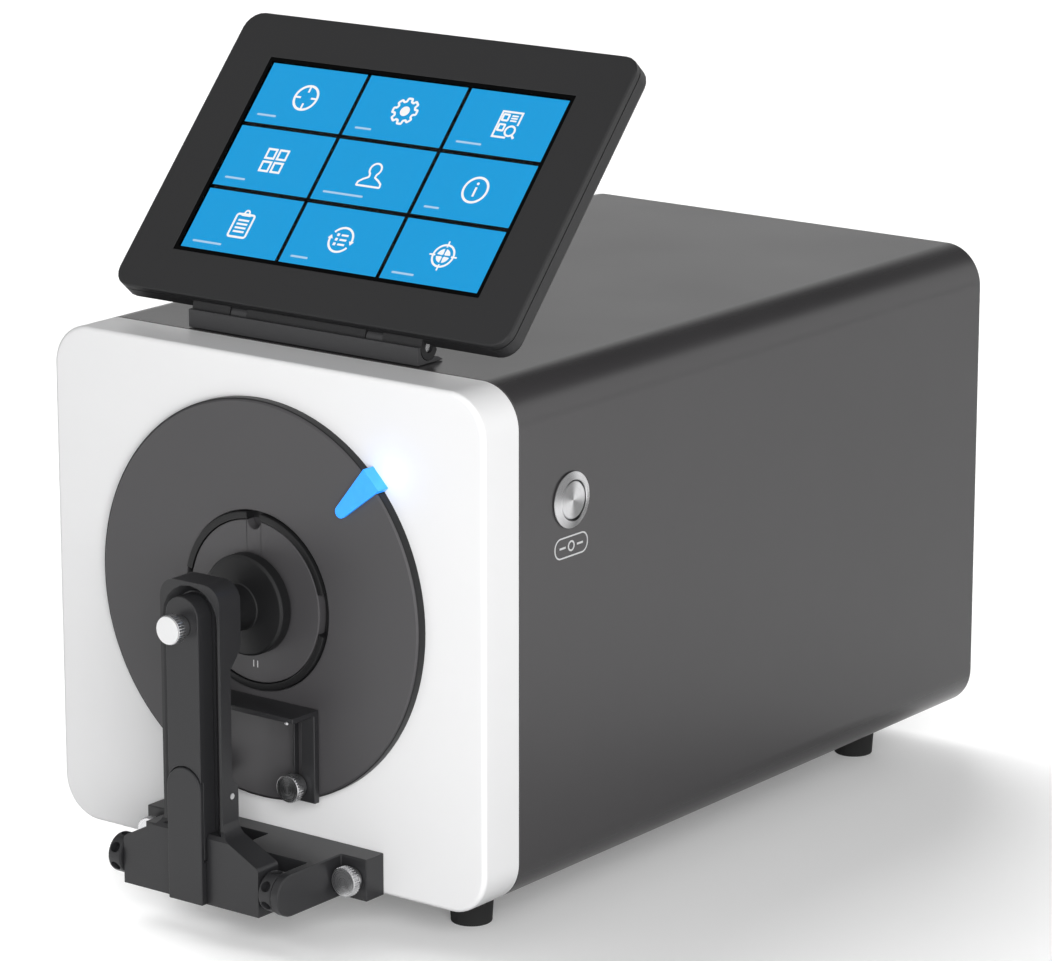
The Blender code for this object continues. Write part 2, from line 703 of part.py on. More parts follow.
def light_guide(body):
    """Blue tapered light guide on the disc, hooked over its rim down to the panel."""
    rim = DISC_RADIUS + GAP
    out = DISC_RADIUS + GUIDE_HOOK
    tip = arc((GUIDE_INNER + GUIDE_TIP, 0.0), GUIDE_TIP, 100.0, 260.0, 8)
    outline = tip + [(out, -GUIDE_HALF), (out, GUIDE_HALF)]
    turn = math.radians(GUIDE_ANGLE)

    def swing(points):
        return [(u * math.cos(turn) - v * math.sin(turn), u * math.sin(turn) + v * math.cos(turn))
                for u, v in points]

    under = -(DISC_THICK + GAP)
    guide = solid("light_guide", bar(swing(outline), "Y", under - GUIDE_THICK, under),
                  "blue light", body, (0.0, 0.0, PORT_HEIGHT))
    hook = swing(rectangle(rim, out, -GUIDE_HALF, GUIDE_HALF))
    join(guide, bar(hook, "Y", under - GUIDE_THICK / 2, -GAP))
    middle = (rim + out) / 2
    lamp = (middle * math.cos(turn), PORT_HEIGHT + middle * math.sin(turn))
    chip = solid("status_lamp", bar(circle(LED_SIZE / 2, COARSE, lamp), "Y",
                                    PANEL_WALL + GAP, PANEL_WALL + GAP + LED_SIZE),
                 "white plastic", body)
    join(chip, bar(rounded(2 * LED_SIZE, 2 * LED_SIZE, LED_SIZE / 4, lamp, steps=2), "Y",
                   PANEL_WALL + GAP + LED_SIZE / 2, PANEL_WALL + GAP + LED_SIZE + BOARD_THICK))


def half_sphere(sign, start, steps=5):
    """Outer and inner points of one half, from a radius near the axis to the flange."""
    first = math.asin(start / SPHERE_OUTER)
    last = math.acos(FLANGE_THICK / SPHERE_OUTER)
    angles = [first + (last - first) * i / steps for i in range(steps + 1)]
    outer = [(SPHERE_OUTER * math.sin(a), sign * SPHERE_OUTER * math.cos(a)) for a in angles]
    flange = SPHERE_OUTER + FLANGE_WIDTH
    edge = [(flange, sign * FLANGE_THICK), (flange, sign * GAP / 2)]
    low = math.asin(GAP / SPHERE_INNER)
    high = math.asin(start / SPHERE_OUTER)
    turns = [math.pi / 2 - low + (high - math.pi / 2 + low) * i / steps for i in range(steps + 1)]
    inner = [(SPHERE_INNER * math.sin(a), sign * SPHERE_INNER * math.cos(a)) for a in turns]
    return outer + edge + inner


def integrating_sphere(body):
    """White-lined sphere in two flanged halves, its neck in the disc's bore."""
    centre = (0.0, SPHERE_BACK, PORT_HEIGHT)
    neck = NECK_RADIUS + NECK_WALL
    tip = SEAT_FLOOR - SPHERE_BACK + GAP
    front = half_sphere(-1, neck)
    shell = [(NECK_RADIUS, tip), (neck, tip)] + front
    solid("sphere_front_half", turned(shell, "Y", ROUND, ring=True), "sphere", body, centre)

    boss = SPHERE_OUTER + BOSS_STAND
    rear = half_sphere(1, BOSS_RADIUS)
    reach = math.asin(BOSS_RADIUS / SPHERE_OUTER)
    polar = math.asin(FIBRE_RADIUS / SPHERE_INNER)
    crown = [reach + (polar - reach) * i / 3 for i in range(1, 4)]
    inner = [(SPHERE_INNER * math.sin(a), SPHERE_INNER * math.cos(a)) for a in crown]
    profile = [(FIBRE_RADIUS, boss), (BOSS_RADIUS, boss)] + rear + inner
    half = solid("sphere_rear_half", turned(profile, "Y", ROUND, ring=True), "sphere", body, centre)
    mid = SPHERE_INNER * math.cos(reach) - OVERRUN
    for across in (-PORT_OFFSET, PORT_OFFSET):
        port = circle(PORT_RADIUS, PLAIN, (across, 0.0), PORT_LEAD)
        cut(half, bar(port, "Y", mid, boss + OVERRUN))
    low = math.sqrt(SPHERE_INNER ** 2 - (LAMP_OFFSET + LAMP_PORT) ** 2) - OVERRUN
    port = circle(LAMP_PORT, PLAIN, (-LAMP_OFFSET, 0.0), PORT_LEAD)
    cut(half, bar(port, "Y", low, boss + OVERRUN))


def sphere_stand(body):
    """Saddle plate that holds both flanges above the tray."""
    radius = SPHERE_OUTER + FLANGE_WIDTH + GAP
    spread = math.degrees(math.asin(STAND_HALF / radius))
    saddle = arc((0.0, PORT_HEIGHT), radius, 270.0 + spread, 270.0 - spread, 10)
    outline = [(-STAND_HALF, TRAY_TOP + GAP), (STAND_HALF, TRAY_TOP + GAP)] + saddle
    solid("sphere_stand", bar(outline, "Y", SPHERE_BACK - STAND_THICK / 2,
                              SPHERE_BACK + STAND_THICK / 2), "sheet steel", body)


def gloss_shutter(body):
    """Flap that swings off the gloss port to leave the mirror reflection out."""
    pivot = (-PORT_OFFSET, SPHERE_REAR + GAP, PORT_HEIGHT - SHUTTER_ARM)
    hinge = axis_frame("shutter axis", pivot, body)
    reach = SHUTTER_DISC - SHUTTER_HUB
    lean = math.degrees(math.asin(reach / SHUTTER_ARM))
    outline = arc((0.0, 0.0), SHUTTER_HUB, 180.0 - lean, 360.0 + lean, 8)
    outline += arc((0.0, SHUTTER_ARM), SHUTTER_DISC, -lean, 180.0 + lean, 14)
    flap = solid("gloss_shutter", bar(outline, "Y", 0.0, SHUTTER_THICK), "black metal", hinge)
    join(flap, bar(circle(SHUTTER_PIN, COARSE), "Y", SHUTTER_THICK / 2,
                   SHUTTER_THICK + SERVO_LENGTH / 3))

    half = SERVO_WIDTH / 2
    front = BRIDGE_FRONT
    base = BRIDGE_TOP + GAP
    shell = chamfered_block(pivot[0] - half, pivot[0] + half, front, front + SERVO_LENGTH,
                            base, pivot[2] + SERVO_RISE, OPTICS_EDGE / 2)
    servo = solid("shutter_servo", shell, "black metal", body)
    bore = circle(SHUTTER_PIN + RUN, COARSE, (pivot[0], pivot[2]))
    cut(servo, bar(bore, "Y", front - OVERRUN, front + SERVO_LENGTH / 2))


def viewing_optics(body):
    """Lens barrel at the viewing port and the dual-channel spectrometer behind it."""
    start = SPHERE_REAR + GAP
    inner = LENS_RADIUS - NECK_WALL
    profile = [(LENS_RADIUS, start), (LENS_RADIUS, start + LENS_LENGTH),
               (inner, start + LENS_LENGTH), (inner, start)]
    solid("viewing_lens_barrel",
          turned(profile, "Y", ROUND, (PORT_OFFSET, PORT_HEIGHT), ring=True), "black metal", body)
    front = start + LENS_LENGTH + GAP
    box = chamfered_block(PORT_OFFSET - OPTICS_LEFT, BRIDGE_HALF - OPTICS_IN, front,
                          front + OPTICS_DEPTH,
                          BRIDGE_TOP + GAP, BRIDGE_TOP + GAP + OPTICS_HEIGHT, OPTICS_EDGE)
    solid("spectrometer_module", box, "black metal", body)


def lamp_module(body):
    """Pulsed lamp housing whose snout lights the sphere beside the viewing port."""
    front = BRIDGE_FRONT + GAP
    left = -BRIDGE_HALF
    box = chamfered_block(left, left + LAMP_WIDTH, front, front + LAMP_DEPTH,
                          BRIDGE_TOP + GAP, BRIDGE_TOP + GAP + OPTICS_HEIGHT, OPTICS_EDGE)
    lamp = solid("lamp_module", box, "sheet steel", body)
    reach = SPHERE_BACK + math.sqrt(SPHERE_OUTER ** 2 - (LAMP_OFFSET - LAMP_SNOUT) ** 2) + RUN
    join(lamp, bar(circle(LAMP_SNOUT, COARSE, (-LAMP_OFFSET, PORT_HEIGHT)), "Y",
                   reach, front + OVERRUN))


# Electronics


def power_supply(body):
    """Enclosed supply on the tray under the optics bridge."""
    half = SUPPLY_WIDTH / 2
    front = BRIDGE_FRONT + OPTICS_EDGE
    box = chamfered_block(-half, half, front, front + SUPPLY_DEPTH, TRAY_TOP + GAP,
                          TRAY_TOP + GAP + SUPPLY_HEIGHT, OPTICS_EDGE)
    solid("power_supply", box, "sheet steel", body)


def main_board(body):
    """Upright processor board along the right wall, with its chips."""
    face = BOARD_FACE
    back = REAR_INSIDE - BOARD_IN
    front = back - BOARD_LENGTH
    base = TRAY_TOP + GAP
    outline = rectangle(front, back, base, base + BOARD_HEIGHT)
    board = solid("main_board", bar(outline, "X", face - BOARD_THICK, face), "circuit board", body)
    for i in range(3):
        near = front + BOARD_IN + i * (CHIP_SIZE + BOARD_IN)
        low = BRIDGE_TOP + GAP + BOARD_IN
        chip = rectangle(near, near + CHIP_SIZE, low, low + CHIP_SIZE)
        join(board, bar(chip, "X", face - BOARD_THICK / 2, face + CHIP_THICK))


def power_inlet(body):
    """Round low-voltage inlet in the rear panel."""
    outside = REAR_OUTSIDE + GAP
    profile = [(INLET_RADIUS, REAR_OUTSIDE - CONNECTOR_DEPTH), (INLET_RADIUS, outside),
               (INLET_FLANGE, outside), (INLET_FLANGE, outside + FLANGE_PROUD),
               (INLET_BORE, outside + FLANGE_PROUD), (INLET_BORE, outside - CONNECTOR_DEPTH / 2)]
    solid("power_inlet", turned(profile, "Y", ROUND, (INLET_PLACE, CONNECTOR_HEIGHT)),
          "black metal", body)


def power_switch(body):
    """Rocker switch: a framed case through the rear panel and a rocker on its pin."""
    outside = REAR_OUTSIDE + GAP
    back = outside + FLANGE_PROUD
    half = SWITCH_WIDTH / 2
    rise = SWITCH_TALL / 2
    place = (SWITCH_PLACE, CONNECTOR_HEIGHT)
    rim = rounded(SWITCH_WIDTH + 2 * SWITCH_RIM, SWITCH_TALL + 2 * SWITCH_RIM,
                  SWITCH_RIM, place, steps=2)
    case = solid("power_switch_case", bar(rim, "Y", outside, back), "black metal", body)
    shell = rectangle(place[0] - half, place[0] + half, place[1] - rise, place[1] + rise)
    join(case, bar(shell, "Y", REAR_OUTSIDE - CONNECTOR_DEPTH, outside + FLANGE_PROUD / 2))
    inner = rectangle(place[0] - half + SWITCH_RIM, place[0] + half - SWITCH_RIM,
                      place[1] - rise + SWITCH_RIM, place[1] + rise - SWITCH_RIM)
    floor = REAR_OUTSIDE - CONNECTOR_DEPTH + SWITCH_RIM
    cut(case, bar(inner, "Y", floor, back + OVERRUN))

    pin_back = back - FLANGE_PROUD - ROCKER_PIN
    hinge = axis_frame("rocker axis", (place[0], pin_back, place[1]), body)
    width = half - SWITCH_RIM - RUN
    tall = rise - SWITCH_RIM - RUN - SOCKET_WALL
    tilt = math.radians(ROCKER_TILT)
    proud = FLANGE_PROUD * 2
    outline = [(proud, 0.0), (proud * 0.8 + tall * math.tan(tilt), tall),
               (-proud / 2, tall - SOCKET_WALL / 2), (-proud, 0.0),
               (-proud / 2, -tall + SOCKET_WALL / 2), (proud * 0.8 + tall * math.tan(tilt), -tall)]
    rocker = solid("power_switch_rocker", bar(outline, "X", -width, width), "screen plastic", hinge)
    hole = circle(ROCKER_PIN, COARSE)
    cut(rocker, bar(hole, "X", -width - OVERRUN, width + OVERRUN))
    pin = bar(circle(ROCKER_PIN - GAP, COARSE), "X", -half + SWITCH_RIM / 2, half - SWITCH_RIM / 2)
    for vert in pin.verts:
        vert.co += hinge.location
    join(case, pin)


def data_sockets(body):
    """Data sockets: hollow metal shells with a tongue, through the rear panel."""
    for name, place, width, tall in (("usb_socket", USB_PLACE, USB_WIDTH, USB_TALL),
                                     ("serial_socket", SERIAL_PLACE, SERIAL_WIDTH, SERIAL_TALL)):
        start = REAR_OUTSIDE - CONNECTOR_DEPTH
        end = REAR_OUTSIDE + FLANGE_PROUD
        middle = (place, CONNECTOR_HEIGHT)
        socket = solid(name, bar(rounded(width, tall, SOCKET_WALL, middle, steps=2), "Y", start, end),
                       "bright steel", body)
        hollow = rounded(width - 2 * SOCKET_WALL, tall - 2 * SOCKET_WALL, SOCKET_WALL / 2,
                         middle, steps=2)
        cut(socket, bar(hollow, "Y", start + SOCKET_WALL, end + OVERRUN))
        tongue = rounded(width - 5 * SOCKET_WALL, tall / 4, SOCKET_WALL / 2, middle, steps=2)
        join(socket, bar(tongue, "Y", start + SOCKET_WALL / 2, end - SOCKET_WALL))


def test_button(body):
    """Round push button in the right side: bezel, cap, nut and contact block."""
    wall = BODY_WIDTH / 2
    place = (wall, BUTTON_BACK, BUTTON_HEIGHT)
    well = BUTTON_CAP + RUN
    inside = -(COVER_WALL + BUTTON_LENGTH)
    profile = [(BUTTON_BARREL, inside), (BUTTON_BARREL, GAP), (BUTTON_RADIUS, GAP),
               (BUTTON_RADIUS, BUTTON_PROUD / 3), (BUTTON_RADIUS - BUTTON_SLOPE / 2, BUTTON_PROUD),
               (well + BUTTON_SLOPE / 2, BUTTON_PROUD), (well, BUTTON_PROUD - BUTTON_SLOPE / 4),
               (well, inside)]
    solid("button_bezel", turned(profile, "X", ROUND, ring=True), "bright steel", body, place)

    rest = BUTTON_PROUD - BUTTON_SLOPE / 4
    cap = [(BUTTON_CAP, rest - BUTTON_LENGTH / 2), (BUTTON_CAP, rest - BUTTON_DOME / 2),
           (BUTTON_CAP - BUTTON_DOME, rest), (BUTTON_CAP / 2, rest + BUTTON_DOME / 2)]
    axis = axis_frame("button axis", place, body)
    solid("button_cap", turned(cap, "X", ROUND), "bright steel", axis)

    front = rest - BUTTON_LENGTH / 2 - BUTTON_TRAVEL - GAP
    block = [(BUTTON_CAP, inside - BUTTON_PROUD), (BUTTON_CAP, front)]
    solid("button_contacts", turned(block, "X", COARSE), "screen plastic", body, place)

    near = -(COVER_WALL + GAP)
    far = near - BUTTON_NUT_THICK
    flats = hexagon(BUTTON_NUT)
    thread = circle(BUTTON_BARREL + GAP, ROUND)
    rows = [(flats, far), (flats, near), (thread, near), (thread, far)]
    nut = loft([place_flat(points, "X", along) for points, along in rows], ring=True)
    solid("button_nut", nut, "bright steel", body, place)


# Touch screen


def touch_screen(body):
    """Screen on its hinge: front frame, glass, display, driver board and rear shell."""
    lean = -math.radians(SCREEN_TILT)
    axis = axis_frame("screen axis", (0.0, HINGE_BACK, BODY_TOP + HINGE_RISE), body, lean)
    back = SCREEN_BACK_OFFSET
    front = back - SCREEN_THICK
    split = front + SCREEN_FRONT_THICK
    middle = (0.0, SCREEN_FOOT + SCREEN_HEIGHT / 2)
    window = (0.0, SCREEN_FOOT + DISPLAY_RISE)

    def outline(inset):
        return rounded(SCREEN_WIDTH - 2 * inset, SCREEN_HEIGHT - 2 * inset,
                       SCREEN_CORNER - inset, middle, steps=5)

    def opening(margin):
        return rounded(DISPLAY_WIDTH + 2 * margin, DISPLAY_HEIGHT + 2 * margin,
                       SCREEN_FRONT_EDGE, window, steps=5)

    edge = SCREEN_FRONT_EDGE
    rows = [(opening(GAP), front), (outline(edge), front), (outline(0.0), front + edge),
            (outline(0.0), split), (opening(GAP), split)]
    frame = loft([place_flat(points, "Y", along) for points, along in rows], ring=True)
    solid("screen_front_frame", frame, "screen plastic", axis)

    glass = front + GLASS_SINK
    solid("touch_glass", bar(opening(0.0), "Y", glass, glass + GLASS_THICK), "glass", axis)
    cell = front + SCREEN_FRONT_THICK + GAP
    pane = rounded(DISPLAY_WIDTH + 2 * LCD_MARGIN, DISPLAY_HEIGHT + 2 * LCD_MARGIN,
                   SCREEN_FRONT_EDGE, window, steps=1)
    panel = solid("display_panel", bar(pane, "Y", cell, cell + LCD_THICK), "lcd", axis)
    core = rounded(DISPLAY_WIDTH - 2 * GAP, DISPLAY_HEIGHT - 2 * GAP, SCREEN_FRONT_EDGE, window,
                   steps=1)
    join(panel, bar(core, "Y", glass + GLASS_THICK + GAP, cell + GAP))
    board = cell + LCD_THICK + GAP
    sheet = rounded(DRIVER_WIDTH, DRIVER_HEIGHT, SCREEN_FRONT_EDGE, window, steps=1)
    solid("display_driver", bar(sheet, "Y", board, board + DRIVER_THICK), "circuit board", axis)

    wall = SCREEN_WALL
    floor = board + DRIVER_THICK + GAP
    edge = SCREEN_BACK_EDGE
    slant = edge * (1 - math.sqrt(0.5))
    rows = [(outline(wall), floor), (outline(wall), split + GAP), (outline(0.0), split + GAP),
            (outline(0.0), back - edge), (outline(slant), back - slant), (outline(edge), back)]
    shell = solid("screen_rear_shell",
                  loft([place_flat(points, "Y", along) for points, along in rows]),
                  "screen plastic", axis)
    ends = (-HINGE_HALF, -LUG_PLACE - LUG_WIDTH / 2 - GAP, -LUG_PLACE + LUG_WIDTH / 2 + GAP,
            LUG_PLACE - LUG_WIDTH / 2 - GAP, LUG_PLACE + LUG_WIDTH / 2 + GAP, HINGE_HALF)
    web = BARREL_WEB
    inside = SCREEN_FOOT + wall / 2
    tangent = math.radians(216)
    knee = (BARREL_RADIUS * math.cos(tangent), BARREL_RADIUS * math.sin(tangent))
    profile = [(-web, inside), (-web, SCREEN_FOOT), knee]
    profile += arc((0.0, 0.0), BARREL_RADIUS, 231.0, 381.0, 10)
    profile += [(back - edge, BARREL_RADIUS), (back - edge, inside)]
    for start, end in zip(ends[::2], ends[1::2]):
        join(shell, bar(profile, "X", start, end))
    bore = circle(HINGE_PIN + GAP, PLAIN)
    cut(shell, bar(bore, "X", -HINGE_HALF - OVERRUN, HINGE_HALF + OVERRUN))
    for place in (-LUG_PLACE, LUG_PLACE):
        half = LUG_WIDTH / 2 + GAP
        pocket = circle(LUG_RADIUS + RUN, COARSE)
        cut(shell, bar(pocket, "X", place - half, place + half))


def hinge_base(body):
    """Cradle bar on top of the cover with two lugs that carry the hinge pin."""
    axis = (0.0, HINGE_BACK, BODY_TOP + HINGE_RISE)
    foot = GAP - HINGE_RISE
    wall = -CRADLE_RADIUS * math.cos(math.radians(10))
    outline = [(-HINGE_WALL, foot), (-HINGE_WALL, HINGE_LIP), (wall, HINGE_LIP)]
    outline += arc((0.0, 0.0), CRADLE_RADIUS, 190.0, 310.0, 8)
    outline += [(CRADLE_RADIUS, foot + HINGE_LIP * 2), (HINGE_TAIL, foot + HINGE_LIP / 3),
                (HINGE_TAIL, foot)]
    base = solid("hinge_base", bar(outline, "X", -HINGE_HALF, HINGE_HALF), "screen plastic", body,
                 axis)
    for place in (-LUG_PLACE, LUG_PLACE):
        start = place - LUG_WIDTH / 2
        end = place + LUG_WIDTH / 2
        stem = rectangle(-LUG_WEB, LUG_WEB, foot + HINGE_LIP / 3, -HINGE_PIN)
        join(base, bar(circle(LUG_RADIUS, COARSE), "X", start, end), bar(stem, "X", start, end))
    bore = circle(HINGE_PIN + GAP, PLAIN)
    cut(base, bar(bore, "X", -HINGE_HALF - OVERRUN, HINGE_HALF + OVERRUN))
    pin = bar(circle(HINGE_PIN, PLAIN), "X", -HINGE_HALF + HINGE_LIP, HINGE_HALF - HINGE_LIP)
    solid("hinge_pin", pin, "bright steel", body, axis)


# Sample clamp


def clamp_bracket(body):
    """Block on the panel with the link arm and knuckle that carry the clamp's axle."""
    low = AXLE_HEIGHT - BRACKET_HEIGHT / 2
    high = AXLE_HEIGHT + BRACKET_HEIGHT / 2
    inner = LINK_OUT - LINK_THICK
    outline = [(-BRACKET_LEFT, -GAP), (BRACKET_RIGHT, -GAP), (BRACKET_RIGHT, -BRACKET_DEPTH),
               (LINK_OUT, -BRACKET_DEPTH), (LINK_OUT, -AXLE_AHEAD), (inner, -AXLE_AHEAD),
               (inner, -PLATFORM_DEPTH), (-PLATFORM_LEFT, -PLATFORM_DEPTH),
               (-PLATFORM_LEFT, -BRACKET_DEPTH), (-BRACKET_LEFT, -BRACKET_DEPTH)]
    bracket = solid("clamp_bracket", bar(outline, "Z", low, high), "black metal", body)
    axle = (-AXLE_AHEAD, AXLE_HEIGHT)
    half = KNUCKLE_HALF
    radius = KNUCKLE_RADIUS
    tongue = arc(axle, radius, 90.0, 270.0, 10)
    tongue += [(-PLATFORM_DEPTH + OVERRUN, AXLE_HEIGHT - radius),
               (-PLATFORM_DEPTH + OVERRUN, AXLE_HEIGHT + radius)]
    join(bracket, bar(circle(BRACKET_HEIGHT / 2, ROUND, axle), "X", inner, LINK_OUT),
         bar(tongue, "X", -half, half))
    window = rectangle(-WINDOW_HALF, WINDOW_HALF, -WINDOW_FRONT, -WINDOW_BACK)
    cut(bracket, bar(window, "Z", low - OVERRUN, high + OVERRUN),
        bar(circle(AXLE_RADIUS + GAP, COARSE, axle), "X", -half - OVERRUN, LINK_OUT - LINK_SKIN))
    for across in (SCREW_FROM_END - BRACKET_LEFT, BRACKET_RIGHT - SCREW_FROM_END):
        hole = circle(SCREW_SHANK + RUN, COARSE, (across, AXLE_HEIGHT))
        cut(bracket, bar(hole, "Y", -BRACKET_DEPTH - OVERRUN, -GAP + OVERRUN))


def screw_shape(head_radius, grip, shank, steps=COARSE):
    """Thumb screw along Y: head at the front, collar, then the shank behind y = 0."""
    collar = -SCREW_COLLAR
    head = collar - SCREW_HEAD
    profile = [(head_radius - KNOB_EDGE, head), (head_radius, head + KNOB_EDGE),
               (head_radius, collar), (SCREW_COLLAR_RADIUS, collar), (SCREW_COLLAR_RADIUS, 0.0),
               (shank, 0.0), (shank, grip)]
    return turned(profile, "Y", steps)


def bracket_screws(body):
    """Two thumb screws that fix the bracket to the panel."""
    for side, across in (("left", SCREW_FROM_END - BRACKET_LEFT),
                         ("right", BRACKET_RIGHT - SCREW_FROM_END)):
        axis = axis_frame(f"bracket screw axis {side}",
                          (across, -BRACKET_DEPTH - GAP, AXLE_HEIGHT), body)
        solid(f"bracket_screw_{side}", screw_shape(SCREW_RADIUS, SCREW_GRIP, SCREW_SHANK),
              "bright steel", axis)


def capstan_nuts(body):
    """Nuts on the axle with radial holes for a bar; they set the clamp spring's load."""
    right = LINK_OUT - LINK_THICK - GAP - NUT_WIDTH / 2
    left = -(SHOE_HALF + GAP + NUT_WIDTH / 2)
    half = NUT_WIDTH / 2
    for side, across in (("left", left), ("right", right)):
        axis = axis_frame(f"nut axis {side}", (across, -AXLE_AHEAD, AXLE_HEIGHT), body)
        profile = [(NUT_RADIUS - NUT_EDGE, -half), (NUT_RADIUS, NUT_EDGE - half),
                   (NUT_RADIUS, half - NUT_EDGE), (NUT_RADIUS - NUT_EDGE, half),
                   (AXLE_RADIUS + RUN, half), (AXLE_RADIUS + RUN, -half)]
        nut = solid(f"capstan_nut_{side}", turned(profile, "X", ROUND, ring=True),
                    "black metal", axis)
        holes = bmesh.new()
        for i in range(NUT_HOLES):
            turn = 2 * math.pi * (i + 0.5) / NUT_HOLES
            out = (math.cos(turn), math.sin(turn))
            loops = []
            for reach in (NUT_RADIUS - NUT_HOLE_DEPTH, NUT_RADIUS + OVERRUN):
                loops.append([(u, out[0] * reach - out[1] * v, out[1] * reach + out[0] * v)
                              for u, v in circle(NUT_HOLE, 8)])
            loft(loops, into=holes)
        cut(nut, holes)
    start = -(SHOE_HALF + GAP + NUT_WIDTH)
    axle = circle(AXLE_RADIUS, COARSE, (-AXLE_AHEAD, AXLE_HEIGHT))
    solid("clamp_axle", bar(axle, "X", start, LINK_OUT - LINK_SKIN - GAP), "bright steel", body)


def arched(half, low, high, steps=10):
    """Upright outline (x, z) with a half-round top."""
    return [(-half, low), (half, low)] + arc((0.0, high - half), half, 0.0, 180.0, steps)


def clamp_arm(swing):
    """Casting with a wide shoe, a channelled upright and a thick head for the plunger."""
    foot = SHOE_FOOT - AXLE_HEIGHT
    side = SHOE_SIDE - AXLE_HEIGHT
    shoulder = SHOE_TOP - AXLE_HEIGHT
    top = ARM_TOP - AXLE_HEIGHT
    right = [(SHOE_HALF, foot)]
    right += arc((SHOE_HALF - SHOE_CORNER, side - SHOE_CORNER), SHOE_CORNER, 0.0, 70.0, 3)
    right += arc((ARM_HALF + SHOE_FILLET, shoulder + SHOE_FILLET), SHOE_FILLET, 254.0, 180.0, 4)
    right += arc((ARM_HALF - ARM_CORNER, top - ARM_CORNER), ARM_CORNER, 0.0, 90.0, 6)
    outline = right + [(-x, z) for x, z in reversed(right)]
    arm = solid("clamp_arm", bar(outline, "Y", -SHOE_FACE, HEAD_BACK), "black metal", swing)

    head = HEAD_FOOT - AXLE_HEIGHT
    root = ROOT_TOP - AXLE_HEIGHT
    profile = [(-SHOE_FACE, foot), (-SHOE_FACE, shoulder), (-ARM_FACE, shoulder + ARM_FACE),
               (-ARM_FACE, top + OVERRUN), (HEAD_BACK, top + OVERRUN), (HEAD_BACK, head),
               (HEAD_BACK - ARM_BACK, head - HEAD_SLOPE / 2), (ARM_BACK, head - HEAD_SLOPE),
               (ARM_BACK, root + ROOT_SLOPE), (ROOT_BACK, root), (ROOT_BACK, shoulder),
               (SHOE_BACK, side), (SHOE_BACK, foot)]
    combine(arm, bar(profile, "X", -SHOE_HALF, SHOE_HALF), "INTERSECT")

    low = shoulder + ARM_FACE / 2
    high = CHANNEL_TOP - AXLE_HEIGHT
    rise = (CHANNEL_HALF - CHANNEL_FLOOR_HALF) / 3
    depth = ARM_FACE + CHANNEL_FLOOR
    loops = [(CHANNEL_HALF + rise, high + rise, -ARM_FACE - depth / 3),
             (CHANNEL_HALF, high, -ARM_FACE),
             (CHANNEL_MID, high - rise, -ARM_FACE + depth / 2),
             (CHANNEL_FLOOR_HALF, high - 2 * rise, CHANNEL_FLOOR)]
    hollow = loft([place_flat(arched(half, low, up), "Y", along) for half, up, along in loops])
    slot = rectangle(-COVER_HALF - GAP, COVER_HALF + GAP, SPINE_FOOT - AXLE_HEIGHT - GAP,
                     low + OVERRUN)
    notch = rectangle(-KNUCKLE_HALF - GAP, KNUCKLE_HALF + GAP,
                      foot - OVERRUN, KNUCKLE_RADIUS + RUN)
    bore = PLUNGER_FLOOR + CHANNEL_FLOOR
    port = PORT_HEIGHT - AXLE_HEIGHT
    reach = SHOE_HALF + OVERRUN
    cut(arm, hollow, bar(slot, "Y", -SHOE_FACE - OVERRUN, CHANNEL_FLOOR),
        bar(notch, "Y", -SHOE_FACE - OVERRUN, SHOE_BACK + OVERRUN),
        bar(circle(AXLE_RADIUS + GAP, COARSE), "X", -reach, reach),
        bar(circle(NECK_OUTER + RUN, ROUND, (0.0, port)), "Y", bore, HEAD_BACK + OVERRUN),
        bar(circle(ROD_RADIUS + RUN, COARSE, (0.0, port)), "Y", -SHOE_FACE, HEAD_BACK),
        bar(circle(DOWEL_RADIUS + GAP, COARSE, (DOWEL_BACK, DOWEL_HEIGHT - AXLE_HEIGHT)), "X",
            -reach, reach))
    pin = circle(DOWEL_RADIUS, COARSE, (DOWEL_BACK, DOWEL_HEIGHT - AXLE_HEIGHT))
    solid("arm_dowel", bar(pin, "X", -ARM_HALF, ARM_HALF), "bright steel", swing)


def arm_spine(swing):
    """Proud bar in the arm's channel, and the plate with a round top over its lower end."""
    foot = SPINE_FOOT - AXLE_HEIGHT
    top = SPINE_TOP - AXLE_HEIGHT
    ledge = COVER_TOP - AXLE_HEIGHT + GAP
    back = CHANNEL_FLOOR - GAP
    face = -SPINE_FACE
    spine = solid("arm_spine", bar(arched(SPINE_HALF, foot, top), "Y", face, back),
                  "black metal", swing)
    seat = arched(COVER_HALF + GAP, foot - OVERRUN, ledge)
    cut(spine, bar(seat, "Y", face - OVERRUN, face + SPINE_STEP),
        bar(circle(ROD_RADIUS + RUN, COARSE, (0.0, PORT_HEIGHT - AXLE_HEIGHT)), "Y",
            face - OVERRUN, back + OVERRUN))
    plate = arched(COVER_HALF, COVER_FOOT - AXLE_HEIGHT, COVER_TOP - AXLE_HEIGHT)
    cover = solid("arm_cover_plate", bar(plate, "Y", -COVER_FACE, COVER_THICK - COVER_FACE),
                  "black metal", swing)
    block = rectangle(-COVER_HALF, COVER_HALF, COVER_FOOT - AXLE_HEIGHT,
                      COVER_ROOT_TOP - AXLE_HEIGHT)
    join(cover, bar(block, "Y", -COVER_FACE, COVER_ROOT - COVER_FACE))


